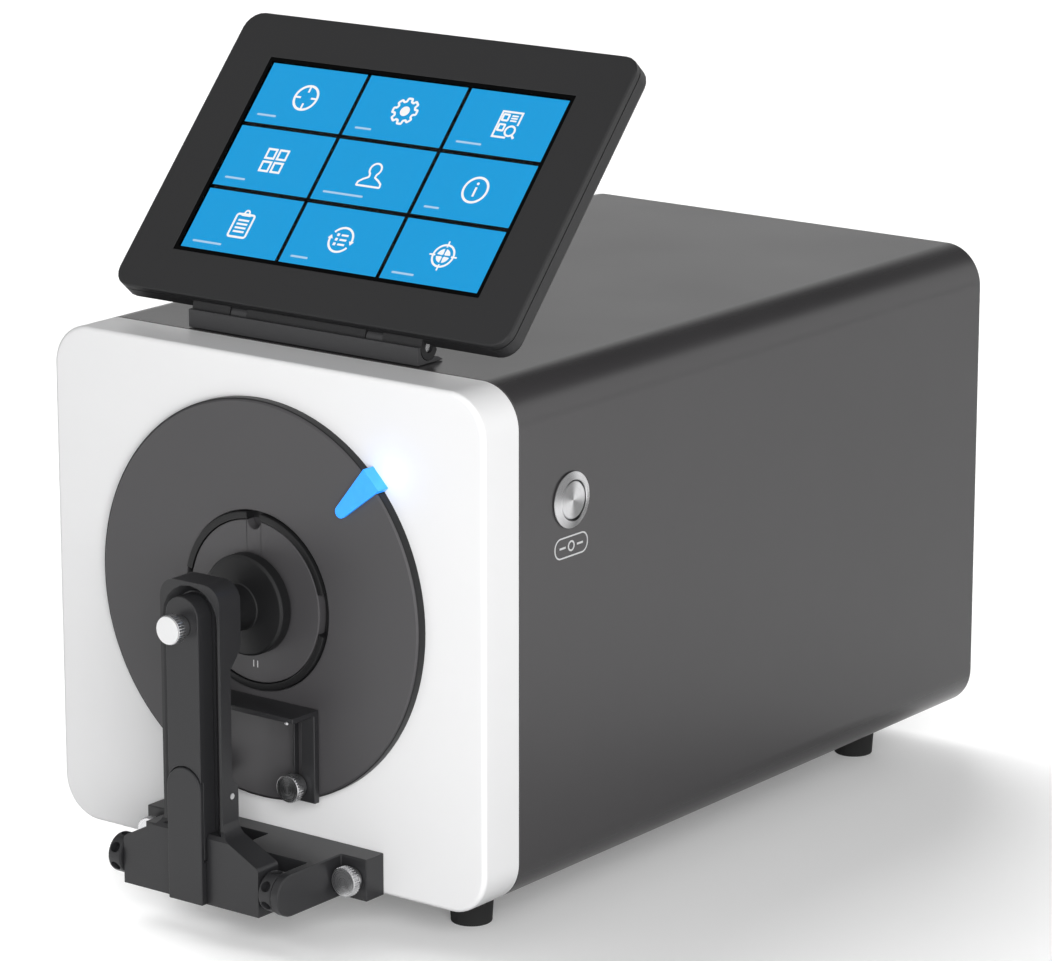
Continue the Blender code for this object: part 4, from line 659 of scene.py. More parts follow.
class INSTRUMENT_OT_housing(InstrumentOperator, bpy.types.Operator):
    """Build the white panel, the wrap cover and the feet with fine round edges"""

    bl_idname = "instrument.housing"
    bl_label = "Housing"

    def build(self, scene):
        self.panel()
        self.cover()
        self.feet()

    def panel(self):
        low, high = PANEL_LOW, PANEL_HIGH
        edge, wall, opening = 0.0019, 0.003, 0.060
        chamfer = 0.0003
        steps = 14
        outline = front_outlines(low, high, steps)

        def hole(along):
            points = []
            share = 90.0 / (steps + 1)
            for quarter in range(4):
                first = 90.0 * quarter + share / 2
                points += arc((0.0, PORT.z), opening, first, first + 90.0 - share, steps)
            return lift(points, "Y", along)

        loops = [hole(low.y), outline(edge, low.y)]
        for i in range(1, 7):
            turn = math.radians(15 * i)
            loops.append(outline(edge * (1 - math.sin(turn)), low.y + edge * (1 - math.cos(turn))))
        loops += [outline(0.0, high.y - chamfer), outline(chamfer, high.y), outline(wall, high.y),
                  outline(wall, low.y + wall), hole(low.y + wall)]
        panel = make_piece("front_panel_moulding", loft(loops, ring=True), finish("white paint"),
                           "housing")
        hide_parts("front_panel")

    def cover(self):
        low, high = COVER_LOW, COVER_HIGH
        wall, front_edge, rear_edge = 0.0015, 0.0003, 0.0005
        button_hole, reach = 0.0098, 0.004
        outline = front_outlines(low, high, 20)
        loops = [outline(front_edge, low.y), outline(0.0, low.y + front_edge),
                 outline(0.0, high.y - rear_edge), outline(rear_edge, high.y),
                 outline(wall, high.y), outline(wall, low.y)]
        cover = make_piece("wrap_cover_shell", loft(loops, ring=True), finish("charcoal paint"),
                           "housing")
        bezel_low, bezel_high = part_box("button_bezel")
        centre = ((bezel_low.y + bezel_high.y) / 2, (bezel_low.z + bezel_high.z) / 2)
        carve(cover, loft([lift(circle(button_hole, 48, centre), "X", along)
                           for along in (high.x - reach, high.x + reach)]))
        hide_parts("wrap_cover")

    def feet(self):
        for end in ("front", "rear"):
            for side in ("left", "right"):
                node = f"foot_{end}_{side}"
                low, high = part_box(node)
                centre = ((low.x + high.x) / 2, (low.y + high.y) / 2)
                top = (high.x - low.x) / 2
                base = top - 0.001
                sunk = low.z + 0.0004
                profile = eased([(CORE, sunk), (base - 0.0022, sunk), (base - 0.0018, low.z),
                                 (base, low.z), (base, low.z + 0.0016), (top, high.z - 0.001),
                                 (top, high.z)], 0.0007)
                foot = make_piece(f"rubber_foot_{end}_{side}", turned(profile, "Z", centre, 64),
                                  finish("rubber"), "housing")
                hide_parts(node)


class INSTRUMENT_OT_port(InstrumentOperator, bpy.types.Operator):
    """Build the port disc, the lock ring, the measuring plate and the light guide"""

    bl_idname = "instrument.port"
    bl_label = "Measuring port"

    def build(self, scene):
        centre = (0.0, PORT.z)
        self.disc(centre)
        self.ring(centre)
        self.plate(centre)
        self.number()
        self.guide(scene)

    def disc(self, centre):
        low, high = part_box("port_disc")
        ring_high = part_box("aperture_ring")[1]
        seat = ring_high.x + GAP
        floor = ring_high.y + GAP
        radius, inner, spigot = high.x, 0.024, 0.0593
        back = FRONT - GAP
        edge, skin_depth, fine = 0.0011, 0.0004, 0.0003
        profile = [(spigot, high.y), (spigot, back), (radius - skin_depth, back),
                   (radius - skin_depth, low.y + edge * 0.8),
                   (radius - edge * 0.9, low.y + 0.0002), (radius - edge * 1.2, low.y),
                   (seat + fine, low.y), (seat, low.y + fine), (seat, floor), (inner, floor),
                   (inner, high.y)]
        disc = make_piece("port_disc_turned", turned(profile, "Y", centre, 192, ring=True),
                          finish("dark anodising"), "housing", 24)
        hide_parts("port_disc")
        # The disc's edge is a band in a darker black than its face.
        profile = [(radius - skin_depth, back), (radius, back), (radius, low.y + edge),
                   (radius - edge * 0.15, low.y + edge * 0.6),
                   (radius - skin_depth, low.y + edge * 0.5)]
        make_piece("port_disc_rim", turned(profile, "Y", centre, 192, ring=True),
                   finish("black rim"), "housing", 24)

    def ring(self, centre):
        """The lock ring, sunk at both finger cuts and at the notch."""
        low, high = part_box("aperture_ring")
        outer, inner = high.x, high.x - 0.0029
        face, floor, sunk = low.y, high.y, high.y - 0.0008
        finger, notch = 0.0085, 0.0034
        chamfer, fine = 0.0005, 0.0001
        cuts = []
        for middle, half in ((0.0, finger), (90.0, notch), (180.0, finger)):
            spread = math.degrees(math.asin(half / outer))
            cuts.append((middle - spread, middle + spread))
        angles = sorted({(i * 1.5) % 360 for i in range(240)}
                        | {(edge + shift) % 360 for pair in cuts for edge in pair
                           for shift in (-0.01, 0.01)})
        shape = bmesh.new()
        rows = []
        for angle in angles:
            inside = any(first < (angle + 180) % 360 - 180 < last or first < angle < last
                         for first, last in cuts)
            top, ease = (sunk, fine) if inside else (face, chamfer)
            profile = [(outer, floor), (outer, top + ease), (outer - ease * 0.3, top + ease * 0.3),
                       (outer - ease, top), (inner + ease, top),
                       (inner + ease * 0.3, top + ease * 0.3), (inner, top + ease), (inner, floor)]
            turn = math.radians(angle)
            rows.append([shape.verts.new((centre[0] + r * math.cos(turn), y,
                                          centre[1] + r * math.sin(turn))) for r, y in profile])
        skin(shape, rows, ring=True)
        ring = make_piece("aperture_lock_ring", shape, finish("black rim"), "housing")
        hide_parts("aperture_ring")

    def plate(self, centre):
        """The measuring plate, with its notch at the top and a chamfered opening."""
        low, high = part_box("aperture_plate")
        radius, notch, hole = high.x, 0.0034, 0.0055
        half = 2 * math.degrees(math.asin(notch / 2 / radius))
        rim = arc((0.0, 0.0), radius, 90.0 + half, 450.0 - half, 200)
        end = Vector(rim[-1])
        start = math.degrees(math.atan2(end.y - radius, end.x))
        bite = arc((0.0, radius), notch, start, -180.0 - start, 24)[1:-1]
        points = rim + bite

        def outline(amount, along):
            loop = []
            for i, point in enumerate(points):
                after = Vector(points[(i + 1) % len(points)])
                side = (after - Vector(points[i - 1])).normalized()
                loop.append((point[0] + side.y * amount + centre[0],
                             point[1] - side.x * amount + centre[1]))
            return lift(loop, "Y", along)

        # The opening's points stand straight under the notch's, so that no face folds over.
        mouth = hole + 0.0016
        corner = math.asin(-rim[0][0] / mouth)
        spread = (2 * math.pi - 2 * corner) / (len(rim) - 1)
        angles = [math.pi / 2 + corner + spread * i for i in range(len(rim))]
        angles += [math.acos(x / mouth) for x, z in bite]

        def bore(size, along):
            return lift([(centre[0] + size * math.cos(a), centre[1] + size * math.sin(a))
                         for a in angles], "Y", along)

        ease = 0.0004
        loops = [outline(0.0, high.y), outline(0.0, low.y + ease),
                 outline(-ease * 0.3, low.y + ease * 0.3), outline(-ease, low.y),
                 bore(mouth, low.y), bore(hole + 0.0012, low.y + 0.0003),
                 bore(hole, low.y + 0.0004), bore(hole, low.y + 0.0009),
                 bore(hole + 0.0015, high.y)]
        plate = make_piece("aperture_plate_turned", loft(loops, ring=True),
                           finish("dark anodising"), "aperture", 16)
        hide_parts("aperture_plate")

    def number(self):
        text = bpy.data.curves.new("plate_number", "FONT")
        text.body = "11"
        text.size = 0.0040
        text.extrude = 0.00003
        text.align_x = "CENTER"
        text.align_y = "CENTER"
        text.materials.append(finish("printed white"))
        number = placed("plate_number", text)
        proud, below_centre = 0.00002, 0.0252
        number.location = (0.0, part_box("aperture_plate")[0].y - proud, PORT.z - below_centre)
        number.rotation_euler = (math.pi / 2, 0.0, 0.0)
        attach(number, "aperture")

    def guide(self, scene):
        softened("light_guide", "light_guide_moulding", 0.0006,
                 guide_finish("blue guide", scene.instrument_guide.colour), "housing")
        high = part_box("light_guide")[1]
        data = bpy.data.lights.new("guide glow", "POINT")
        data.color = (0.25, 0.45, 1.0)
        data.energy = 0.0020
        data.shadow_soft_size = 0.003
        glow = placed("guide glow", data)
        glow.location = (high.x + 0.0015, FRONT - 0.004, high.z - 0.002)
        fall_only_on(glow, "lit by the guide", "front_panel_moulding")


class INSTRUMENT_OT_screen(InstrumentOperator, bpy.types.Operator):
    """Build the screen's housing with round edges, and its hinge"""

    bl_idname = "instrument.screen"
    bl_label = "Screen housing"

    def build(self, scene):
        plastic = finish("screen plastic")
        softened("screen_front_frame", "screen_bezel", 0.0005, plastic, "screen")
        softened("screen_rear_shell", "screen_back", 0.0005, plastic, "screen")
        softened("hinge_base", "hinge_cradle", 0.0003, finish("hinge plastic"), "housing")


def screen_plane():
    """Middle, up and outward directions of the display, and half the glass's size."""
    data = NODES["touch_glass"].data
    face = max((p for p in data.polygons if p.normal.y < -0.1), key=lambda p: p.area)
    out = face.normal.copy()
    up = Vector((0.0, out.z, -out.y))
    points = [v.co for v in data.vertices]
    rise = [p.dot(up) for p in points]
    level = max(v.co.dot(out) for v in NODES["display_panel"].data.vertices)
    middle = up * (max(rise) + min(rise)) / 2 + out * level
    half = Vector((max(p.x for p in points), (max(rise) - min(rise)) / 2))
    return middle, up, out, half


class Drawing:
    """Flat line work that stands a little proud of a plane."""

    def __init__(self, middle, up, out, base=PRINT_LIFT, thickness=PRINT_DEPTH, shape=None,
                 right=(1, 0, 0)):
        self.shape = shape or bmesh.new()
        self.middle, self.up, self.out = middle, up, out
        self.right = Vector(right)
        self.base, self.top = base, base + thickness
        self.at(0.0, 0.0, 1.0)

    def at(self, x, y, size):
        """Draw about this point, in units of this size."""
        self.origin = Vector((x, y))
        self.size = size

    def spot(self, point, level):
        place = self.origin + Vector(point) * self.size
        return self.middle + self.right * place.x + self.up * place.y + self.out * level

    def fill(self, points):
        """A filled outline."""
        loft([[self.spot(p, level) for p in points] for level in (self.base, self.top)],
             into=self.shape)

    def line(self, points, width, closed=False):
        """A ribbon of even width along a line of points."""
        sharpest = 0.4
        count = len(points)
        inner, outer = [], []
        for i, point in enumerate(points):
            here = Vector(point)
            before = Vector(points[i - 1]) if closed or i else here
            after = Vector(points[(i + 1) % count]) if closed or i < count - 1 else here
            first = (here - before).normalized() if (here - before).length else None
            second = (after - here).normalized() if (after - here).length else None
            first = first or second
            second = second or first
            mean = (first + second).normalized()
            side = Vector((-mean.y, mean.x))
            reach = width / 2 / max(sharpest, side.dot(Vector((-first.y, first.x))))
            inner.append(here + side * reach)
            outer.append(here - side * reach)
        rows = [[self.shape.verts.new(self.spot(p, level)) for p in line]
                for line, level in ((inner, self.base), (outer, self.base),
                                    (outer, self.top), (inner, self.top))]
        skin(self.shape, rows, ring=True, closed=closed)
        if not closed:
            for i in (0, count - 1):
                self.shape.faces.new([row[i] for row in rows])


class INSTRUMENT_OT_display(InstrumentOperator, bpy.types.Operator):
    """Draw the lit tiles and their line icons under the cover glass"""

    bl_idname = "instrument.display"
    bl_label = "Display"

    def build(self, scene):
        look = scene.instrument_display
        middle, up, out, half = screen_plane()
        tiles = Drawing(middle, up, out, 0.00002, 0.00006)
        lines = Drawing(middle, up, out, 0.00010, 0.00006)
        captions = Drawing(middle, up, out, 0.00010, 0.00004)
        width, height = ((2 * size - 2 * look.margin - 2 * look.tile_gap) / 3 for size in half)
        caption_x, caption_y, caption_height = 0.0044, 0.0040, 0.0009
        icons = ((self.target, 0.0098), (self.gear, 0.0082), (self.document, 0.0124),
                 (self.squares, 0.0104), (self.person, 0.0200), (self.info, 0.0074),
                 (self.clipboard, 0.0148), (self.refresh, 0.0086), (self.aim, 0.0108))
        for i, (icon, length) in enumerate(icons):
            row, column = divmod(i, 3)
            x = (column - 1) * (width + look.tile_gap)
            y = (1 - row) * (height + look.tile_gap)
            tiles.at(x, y, 1.0)
            tiles.fill([(-width / 2, -height / 2), (width / 2, -height / 2),
                        (width / 2, height / 2), (-width / 2, height / 2)])
            lines.at(x, y, look.icon_size / 2)
            icon(lines, look.stroke / look.icon_size * 2)
            captions.at(x - width / 2 + caption_x, y - height / 2 + caption_y, 1.0)
            captions.fill(rounded(length, caption_height, 0.00044, (length / 2, 0.0), 4))
        self.border(middle, up, out, half, look)
        white = lit_finish("icon white", (1.0, 1.0, 1.0), 0.95)
        dim = lit_finish("caption white", (0.42, 0.66, 0.88), 0.95)
        blue = lit_finish("tile blue", look.tile_colour, 1.0)
        for name, drawing, material in (("display_tiles", tiles, blue),
                                        ("display_icons", lines, white),
                                        ("display_captions", captions, dim)):
            make_piece(name, drawing.shape, material, "screen")

    def border(self, middle, up, out, half, look):
        """Black ink round the glass; it also bridges the gap to the housing."""
        glass = max(v.co.dot(out) for v in NODES["touch_glass"].data.vertices)
        pen = Drawing(middle, up, out, glass - middle.dot(out) + 0.00001, 0.00005)
        outer = (half.x + GAP, half.y + GAP)
        inner = (half.x - look.margin, half.y - look.margin)

        def corners(size, height):
            return [pen.spot((x * size[0], y * size[1]), height)
                    for x, y in ((-1, -1), (1, -1), (1, 1), (-1, 1))]

        loft([corners(inner, pen.base), corners(outer, pen.base), corners(outer, pen.top),
              corners(inner, pen.top)], ring=True, into=pen.shape)
        make_piece("glass_border", pen.shape, finish("display black"), "screen")

    # The icons fill a square from -1 to 1.

    def spokes(self, pen, near, far, width):
        for turn in range(4):
            a = math.pi / 2 * turn
            pen.line([(r * math.cos(a), r * math.sin(a)) for r in (near, far)], width)

    def target(self, pen, stroke):
        pen.line(circle(0.90, 48), stroke * 1.25, True)
        self.spokes(pen, 0.42, 0.86, stroke)

    def gear(self, pen, stroke):
        points = []
        for tooth in range(8):
            for share, reach in ((-0.34, 0.74), (-0.22, 0.96), (0.22, 0.96), (0.34, 0.74)):
                a = math.pi / 4 * (tooth + share)
                points.append((reach * math.cos(a), reach * math.sin(a)))
        pen.line(eased(points, 0.07, True), stroke * 1.15, True)
        pen.fill(circle(0.36, 32))

    def document(self, pen, stroke):
        pen.line([(0.30, -0.92), (-0.74, -0.92), (-0.74, 0.94), (0.80, 0.94), (0.80, 0.02)],
                 stroke)
        for y in (0.52, -0.22):
            pen.line(rounded(0.44, 0.44, 0.04, (-0.36, y), 2), stroke, True)
        for y in (0.68, 0.50, 0.32):
            pen.line([(0.08, y), (0.56, y)], stroke * 0.8)
        pen.line(circle(0.36, 32, (0.42, -0.42)), stroke, True)
        pen.line([(0.68, -0.68), (0.92, -0.92)], stroke * 1.2)

    def squares(self, pen, stroke):
        for x in (-0.48, 0.48):
            for y in (-0.48, 0.48):
                pen.line([(x - 0.34, y - 0.34), (x + 0.34, y - 0.34), (x + 0.34, y + 0.34),
                          (x - 0.34, y + 0.34)], stroke * 1.1, True)

    def person(self, pen, stroke):
        head = arc((0.0, 0.42), 0.44, -52.0, 232.0, 28)
        left = [(-0.24, -0.16), (-0.62, -0.36), (-0.90, -0.58), (-0.94, -0.84)]
        right = [(-x, y) for x, y in reversed(left)]
        pen.line(eased(right + head + left, 0.06, True), stroke, True)

    def info(self, pen, stroke):
        pen.line(circle(0.90, 48), stroke * 1.2, True)
        pen.line([(0.0, -0.48), (0.0, 0.20)], stroke * 1.1)
        pen.fill(circle(0.10, 16, (0.0, 0.46)))

    def clipboard(self, pen, stroke):
        pen.line(rounded(1.44, 1.68, 0.16, (0.0, -0.10), 4), stroke * 1.1, True)
        pen.fill(rounded(0.80, 0.22, 0.08, (0.0, 0.72), 3))
        pen.line(circle(0.18, 20, (0.0, 0.86)), stroke * 0.9, True)
        for y in (0.30, 0.02, -0.26, -0.54):
            pen.line([(-0.44, y), (0.44, y)], stroke)

    def refresh(self, pen, stroke):
        for side in (1, -1):
            pen.line([(side * x, side * y) for x, y in arc((0.0, 0.0), 0.88, -6.0, 146.0, 28)],
                     stroke * 1.1)
            pen.fill([(side * 1.08, -side * 0.02), (side * 0.68, -side * 0.02),
                      (side * 0.86, -side * 0.30)])
        for y in (0.34, 0.0, -0.34):
            pen.fill(rounded(0.20, 0.20, 0.03, (-0.36, y), 2))
            pen.line([(-0.10, y), (0.44, y)], stroke)

    def aim(self, pen, stroke):
        pen.line(circle(0.78, 48), stroke, True)
        self.spokes(pen, 0.62, 1.06, stroke * 0.8)
        for turn in range(4):
            first = 90.0 * turn + 9.0
            ring = arc((0.0, 0.0), 0.50, first, first + 72.0, 14)
            pen.fill(ring + arc((0.0, 0.0), 0.12, first + 60.0, first + 12.0, 4))


class INSTRUMENT_OT_clamp(InstrumentOperator, bpy.types.Operator):
    """Build the sample clamp: casting, bar, cover plate, bracket, nuts, bell, pad and spring"""

    bl_idname = "instrument.clamp"
    bl_label = "Sample clamp"

    def build(self, scene):
        black = finish("black anodising")
        softened("clamp_arm", "clamp_casting", 0.0011, black, "clamp", 4, 28)
        softened("arm_spine", "clamp_bar", 0.0007, black, "clamp")
        softened("arm_cover_plate", "clamp_plate", 0.0004, black, "clamp")
        softened("clamp_bracket", "bracket_block", 0.0006, black, "housing")
        centre = (0.0, PORT.z)
        self.nuts(black)
        self.bell(centre)
        self.pad(centre)
        self.spring(centre)

    def nuts(self, black):
        """Round nuts with six holes for a tommy bar."""
        bore, fine, edge = 0.0029, 0.0003, 0.0010
        hole, flare = 0.0020, 0.0028
        for side in ("left", "right"):
            node = f"capstan_nut_{side}"
            low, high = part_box(node)
            radius = (high.z - low.z) / 2
            profile = [(bore, low.x), (radius - edge, low.x), (radius - fine, low.x + fine),
                       (radius, low.x + edge), (radius, high.x - edge),
                       (radius - fine, high.x - fine), (radius - edge, high.x), (bore, high.x)]
            nut = make_piece(f"capstan_nut_turned_{side}",
                             turned(profile, "X", (AXLE.y, AXLE.z), 72, ring=True), black,
                             f"nut_{side}")
            holes = bmesh.new()
            start = Vector(((low.x + high.x) / 2, AXLE.y, AXLE.z))
            for i in range(6):
                turn = 2 * math.pi * (i + 0.5) / 6
                out = Vector((0.0, math.cos(turn), math.sin(turn)))
                across = Vector((0.0, -math.sin(turn), math.cos(turn)))
                loops = [[start + out * reach + across * v + Vector((u, 0, 0))
                          for u, v in circle(size, 28)]
                         for reach, size in ((radius - 0.0034, hole), (radius - 0.0004, hole),
                                             (radius + 0.0004, flare))]
                loft(loops, into=holes)
            carve(nut, holes)
            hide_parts(node)

    def bell(self, centre):
        low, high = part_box("plunger_bell")
        radius, neck, bore = high.x, 0.009, 0.0064
        shoulder = FRONT - 0.0134
        face = FRONT - 0.0150
        fine = 0.0004
        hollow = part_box("plunger_spring")[1].y + GAP
        profile = [(bore, low.y), (neck, low.y)]
        profile += eased([(neck, low.y + 0.0005), (neck, face - fine), (neck + fine, face),
                          (radius - 0.0009, shoulder), (radius, shoulder + 0.0009),
                          (radius, high.y - fine)], 0.0008, steps=4)
        profile += [(radius - fine, high.y), (0.002, high.y), (0.002, high.y - 0.0012),
                    (0.001, hollow), (bore, hollow)]
        # Painted shade: the bell takes the darker black, as though in the shadow of the arm's head.
        bell = make_piece("plunger_bell_turned", turned(profile, "Y", centre, 120, ring=True),
                          finish("black rim"), "plunger")
        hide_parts("plunger_bell")

    def pad(self, centre):
        low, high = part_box("pressure_pad")
        radius, rim = high.x, 0.0004
        profile = [(CORE, low.y), (radius - rim, low.y), (radius, low.y + rim),
                   (radius, high.y - rim), (radius - rim, high.y), (CORE, high.y)]
        pad = make_piece("pressure_pad_moulded", turned(profile, "Y", centre, 96),
                         finish("rubber"), "plunger")
        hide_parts("pressure_pad")

    def spring(self, centre):
        """A wound spring with a mesh of its own. The real spring shortens when the knob is pulled; this one keeps
        its shape.
        """
        low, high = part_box("plunger_spring")
        wire = 0.00045
        turns, steps = 9, 24
        travel = high.y - low.y - 2 * wire
        loops = []
        for i in range(turns * steps + 1):
            turn = 2 * math.pi * i / steps
            along = low.y + wire + travel * (i / (turns * steps))
            out = Vector((math.cos(turn), 0.0, math.sin(turn)))
            middle = Vector((centre[0], along, centre[1])) + out * (high.x - wire)
            loops.append([middle + out * u + Vector((0.0, v, 0.0)) for u, v in circle(wire, 8)])
        spring = make_piece("plunger_spring_wound", loft(loops), finish("bright steel"),
                            "clamp", 60)
        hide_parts("plunger_spring")
        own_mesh(spring)


class INSTRUMENT_OT_shelf(InstrumentOperator, bpy.types.Operator):
    """Build the sample shelf with round edges"""

    bl_idname = "instrument.shelf"
    bl_label = "Sample shelf"

    def build(self, scene):
        softened("sample_shelf", "sample_ledge", 0.0003, finish("black anodising"), "shelf",
                 clamp=False)
        low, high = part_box("sample_shelf")
        place = (high.x - 0.0030, high.z - 0.0022)
        profile = [(CORE, low.y - 0.0004), (0.0004, low.y - 0.00035), (0.0007, low.y - 0.0002),
                   (0.0008, low.y + 0.0002)]
        make_piece("sample_ledge_pin", turned(profile, "Y", place, 24), finish("bright steel"),
                   "shelf")


class INSTRUMENT_OT_knurled_heads(InstrumentOperator, bpy.types.Operator):
    """Build the thumb screws and the pull knob with knurled sides and turned faces"""

    bl_idname = "instrument.knurled_heads"
    bl_label = "Knurled heads"

    def build(self, scene):
        steel = scene.instrument_finish.steel
        knurl = scene.instrument_knurl
        for kind, radius, shank in (("bracket", 0.0060, 0.0018), ("shelf", 0.0057, 0.0013)):
            for side in ("left", "right"):
                self.screw(f"{kind}_screw_{side}", radius, shank, knurl, steel)
        self.knob(knurl, steel)

    def screw(self, node, radius, shank, knurl, steel):
        low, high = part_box(node)
        centre = ((low.x + high.x) / 2, (low.z + high.z) / 2)
        collar = 0.0046
        front = low.y
        side = front + 0.0036
        root = side + 0.0028
        metal = turned_finish(f"turned steel {node.replace('_', ' ')}", steel,
                              (centre[0], 0.0, centre[1]))
        head = [(radius - 0.0006, front, 0.0), (radius - 0.00035, front + 0.00012, 0.0),
                (radius - 0.0002, front + 0.0004, 0.3), (radius, front + 0.0006, 1.0),
                (radius, side - 0.0004, 1.0), (radius - 0.0004, side, 0.3),
                (collar + 0.0002, side, 0.0)]
        shape = knurled(head, knurl, centre)
        profile = [(collar, side - 0.0002), (collar, root - 0.0003), (collar - 0.0003, root),
                   (shank, root), (shank, high.y - 0.0004), (shank - 0.0004, high.y)]
        turned(profile, "Y", centre, 48, into=shape)
        piece = make_piece(f"thumb_{node}", shape, metal, node, 28)
        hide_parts(node)

    def knob(self, knurl, steel):
        low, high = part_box("pull_knob")
        cap_low, cap_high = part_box("pull_knob_cap")
        centre = (0.0, PORT.z)
        radius, collar, shank = 0.0058, 0.0044, 0.002
        front = low.y
        side = cap_low.y + 0.0046
        root = side + 0.0034
        metal = turned_finish("turned steel pull knob", steel, (0.0, 0.0, PORT.z))
        head = [(radius - 0.0004, front, 0.0), (radius - 0.0001, front + 0.0002, 0.3),
                (radius, front + 0.0005, 1.0), (radius, side - 0.0004, 1.0),
                (radius - 0.0004, side, 0.3), (collar + 0.0002, side, 0.0)]
        shape = knurled(head, knurl, centre)
        profile = [(collar, side - 0.0002), (collar, root), (shank, root), (shank, high.y)]
        turned(profile, "Y", centre, 48, into=shape)
        knob = make_piece("pull_knob_knurled", shape, metal, "plunger", 28)
        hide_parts("pull_knob")
        rim = cap_high.x
        profile = eased([(CORE, cap_low.y), (rim, cap_low.y), (rim, cap_high.y)], 0.0004)
        profile.append((CORE, cap_high.y))
        cap = make_piece("pull_knob_disc", turned(profile, "Y", centre, 64),
                         finish("white cap"), "plunger")
        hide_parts("pull_knob_cap")


class INSTRUMENT_OT_button(InstrumentOperator, bpy.types.Operator):
    """Build the steel push button and the outlined mark under it"""

    bl_idname = "instrument.button"
    bl_label = "Test button"

    def build(self, scene):
        low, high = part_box("button_bezel")
        centre = ((low.y + high.y) / 2, (low.z + high.z) / 2)
        place = (0.0, *centre)
        wall, proud = COVER_HIGH.x, high.x
        outer, inner, barrel = (high.z - low.z) / 2, 0.0078, 0.0095
        steel = scene.instrument_finish.steel
        profile = [(barrel, low.x), (barrel, wall + GAP), (outer - 0.0001, wall + GAP),
                   (outer, wall + 0.0005), (outer - 0.0001, wall + 0.0008),
                   (inner + 0.0007, proud - 0.0001), (inner + 0.0004, proud),
                   (inner + 0.0001, proud - 0.0002), (inner, proud - 0.0005), (inner, low.x)]
        # The bezel's steel carries painted highlights in its colour.
        bezel = make_piece("button_bezel_turned", turned(profile, "X", centre, 96, ring=True),
                           brushed_steel_painted_highlights("brushed steel bezel", steel, place, 0.24), "housing",
                           40)
        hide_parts("button_bezel")
        cap_low, cap_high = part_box("button_cap")
        radius, dish = 0.0076, 0.0002
        face = cap_high.x - 0.0001
        profile = [(radius, cap_low.x), (radius, face - 0.0006), (radius - 0.0002, face - 0.0002),
                   (radius - 0.0006, face)]
        profile += [(radius * share, face - dish * (1 - share ** 2))
                    for share in (0.85, 0.7, 0.55, 0.4, 0.25, 0.1, 0.01)]
        # The cap's steel carries painted highlights in its colour.
        cap = make_piece("button_cap_dished", turned(profile, "X", centre, 96),
                         brushed_steel_painted_highlights("brushed steel cap", steel, place, 0.30), "button",
                         40)
        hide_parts("button_cap")
        self.mark(centre, wall)

    def mark(self, centre, wall):
        """A plain outlined oval with a beam sign in it, printed on the cover."""
        middle = Vector((wall, centre[0] + 0.0004, centre[1] - 0.0182))
        pen = Drawing(middle, Vector((0, 0, 1)), Vector((1, 0, 0)), right=(0, 1, 0))
        pen.line(rounded(0.0206, 0.0078, 0.0036, (0.0, 0.0), 10), 0.0006, True)
        pen.line(circle(0.0018, 24), 0.0007, True)
        for side in (-1, 1):
            pen.line([(side * 0.0036, 0.0), (side * 0.0074, 0.0)], 0.0008)
        make_piece("button_mark", pen.shape, finish("printed white"), "housing")


class INSTRUMENT_OT_rear(InstrumentOperator, bpy.types.Operator):
    """Build the rear panel's screws and the signs at its switch and sockets"""

    bl_idname = "instrument.rear"
    bl_label = "Rear panel"

    def build(self, scene):
        low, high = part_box("rear_panel")
        from_edge = 0.009
        profile = [(radius, high.y + along) for radius, along in (
            (CORE, 0.0010), (0.0012, 0.0010), (0.0024, 0.0006), (0.0028, 0.0001),
            (0.0028, -0.0002))]
        shape = bmesh.new()
        for x in (low.x + from_edge, high.x - from_edge):
            for z in (low.z + from_edge, (low.z + high.z) / 2, high.z - from_edge):
                turned(profile, "Y", (x, z), 32, into=shape)
        make_piece("rear_screws", shape, finish("bright steel"), "housing")
        self.switch_signs()
        self.socket_signs(high.y)

    def switch_signs(self):
        """The plain on and off signs on the rocker."""
        low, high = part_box("power_switch_rocker")
        middle = (low.z + high.z) / 2
        rear = [p for p in NODES["power_switch_rocker"].data.polygons if p.normal.y > 0.5]
        shape = bmesh.new()
        for side in (1, -1):
            face = max((p for p in rear if (p.center.z - middle) * side > 0),
                       key=lambda p: p.area)
            up = Vector((0.0, -face.normal.z, face.normal.y)).normalized()
            pen = Drawing(face.center, up, face.normal, shape=shape)
            if side > 0:
                pen.line([(0.0, -0.0012), (0.0, 0.0012)], 0.0005)
            else:
                pen.line(circle(0.0012, 24), 0.0005, True)
        make_piece("rocker_signs", shape, finish("printed white"), "rocker")

    def socket_signs(self, face):
        """A short white line under each socket, with dots to tell the sockets apart."""
        below, spacing = 0.0042, 0.0018
        shape = bmesh.new()
        for dots, node in enumerate(("serial_socket", "usb_socket", "power_inlet")):
            low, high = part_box(node)
            pen = Drawing(Vector(((low.x + high.x) / 2, face, low.z - below)),
                          Vector((0.0, 0.0, 1.0)), Vector((0.0, 1.0, 0.0)), shape=shape)
            pen.fill(rounded(0.0070, 0.0006, 0.00028, (0.0, 0.0), 3))
            for i in range(dots + 1):
                pen.fill(circle(0.00045, 12, (spacing * (i - dots / 2), -0.0017)))
        make_piece("socket_signs", shape, finish("printed white"), "housing")


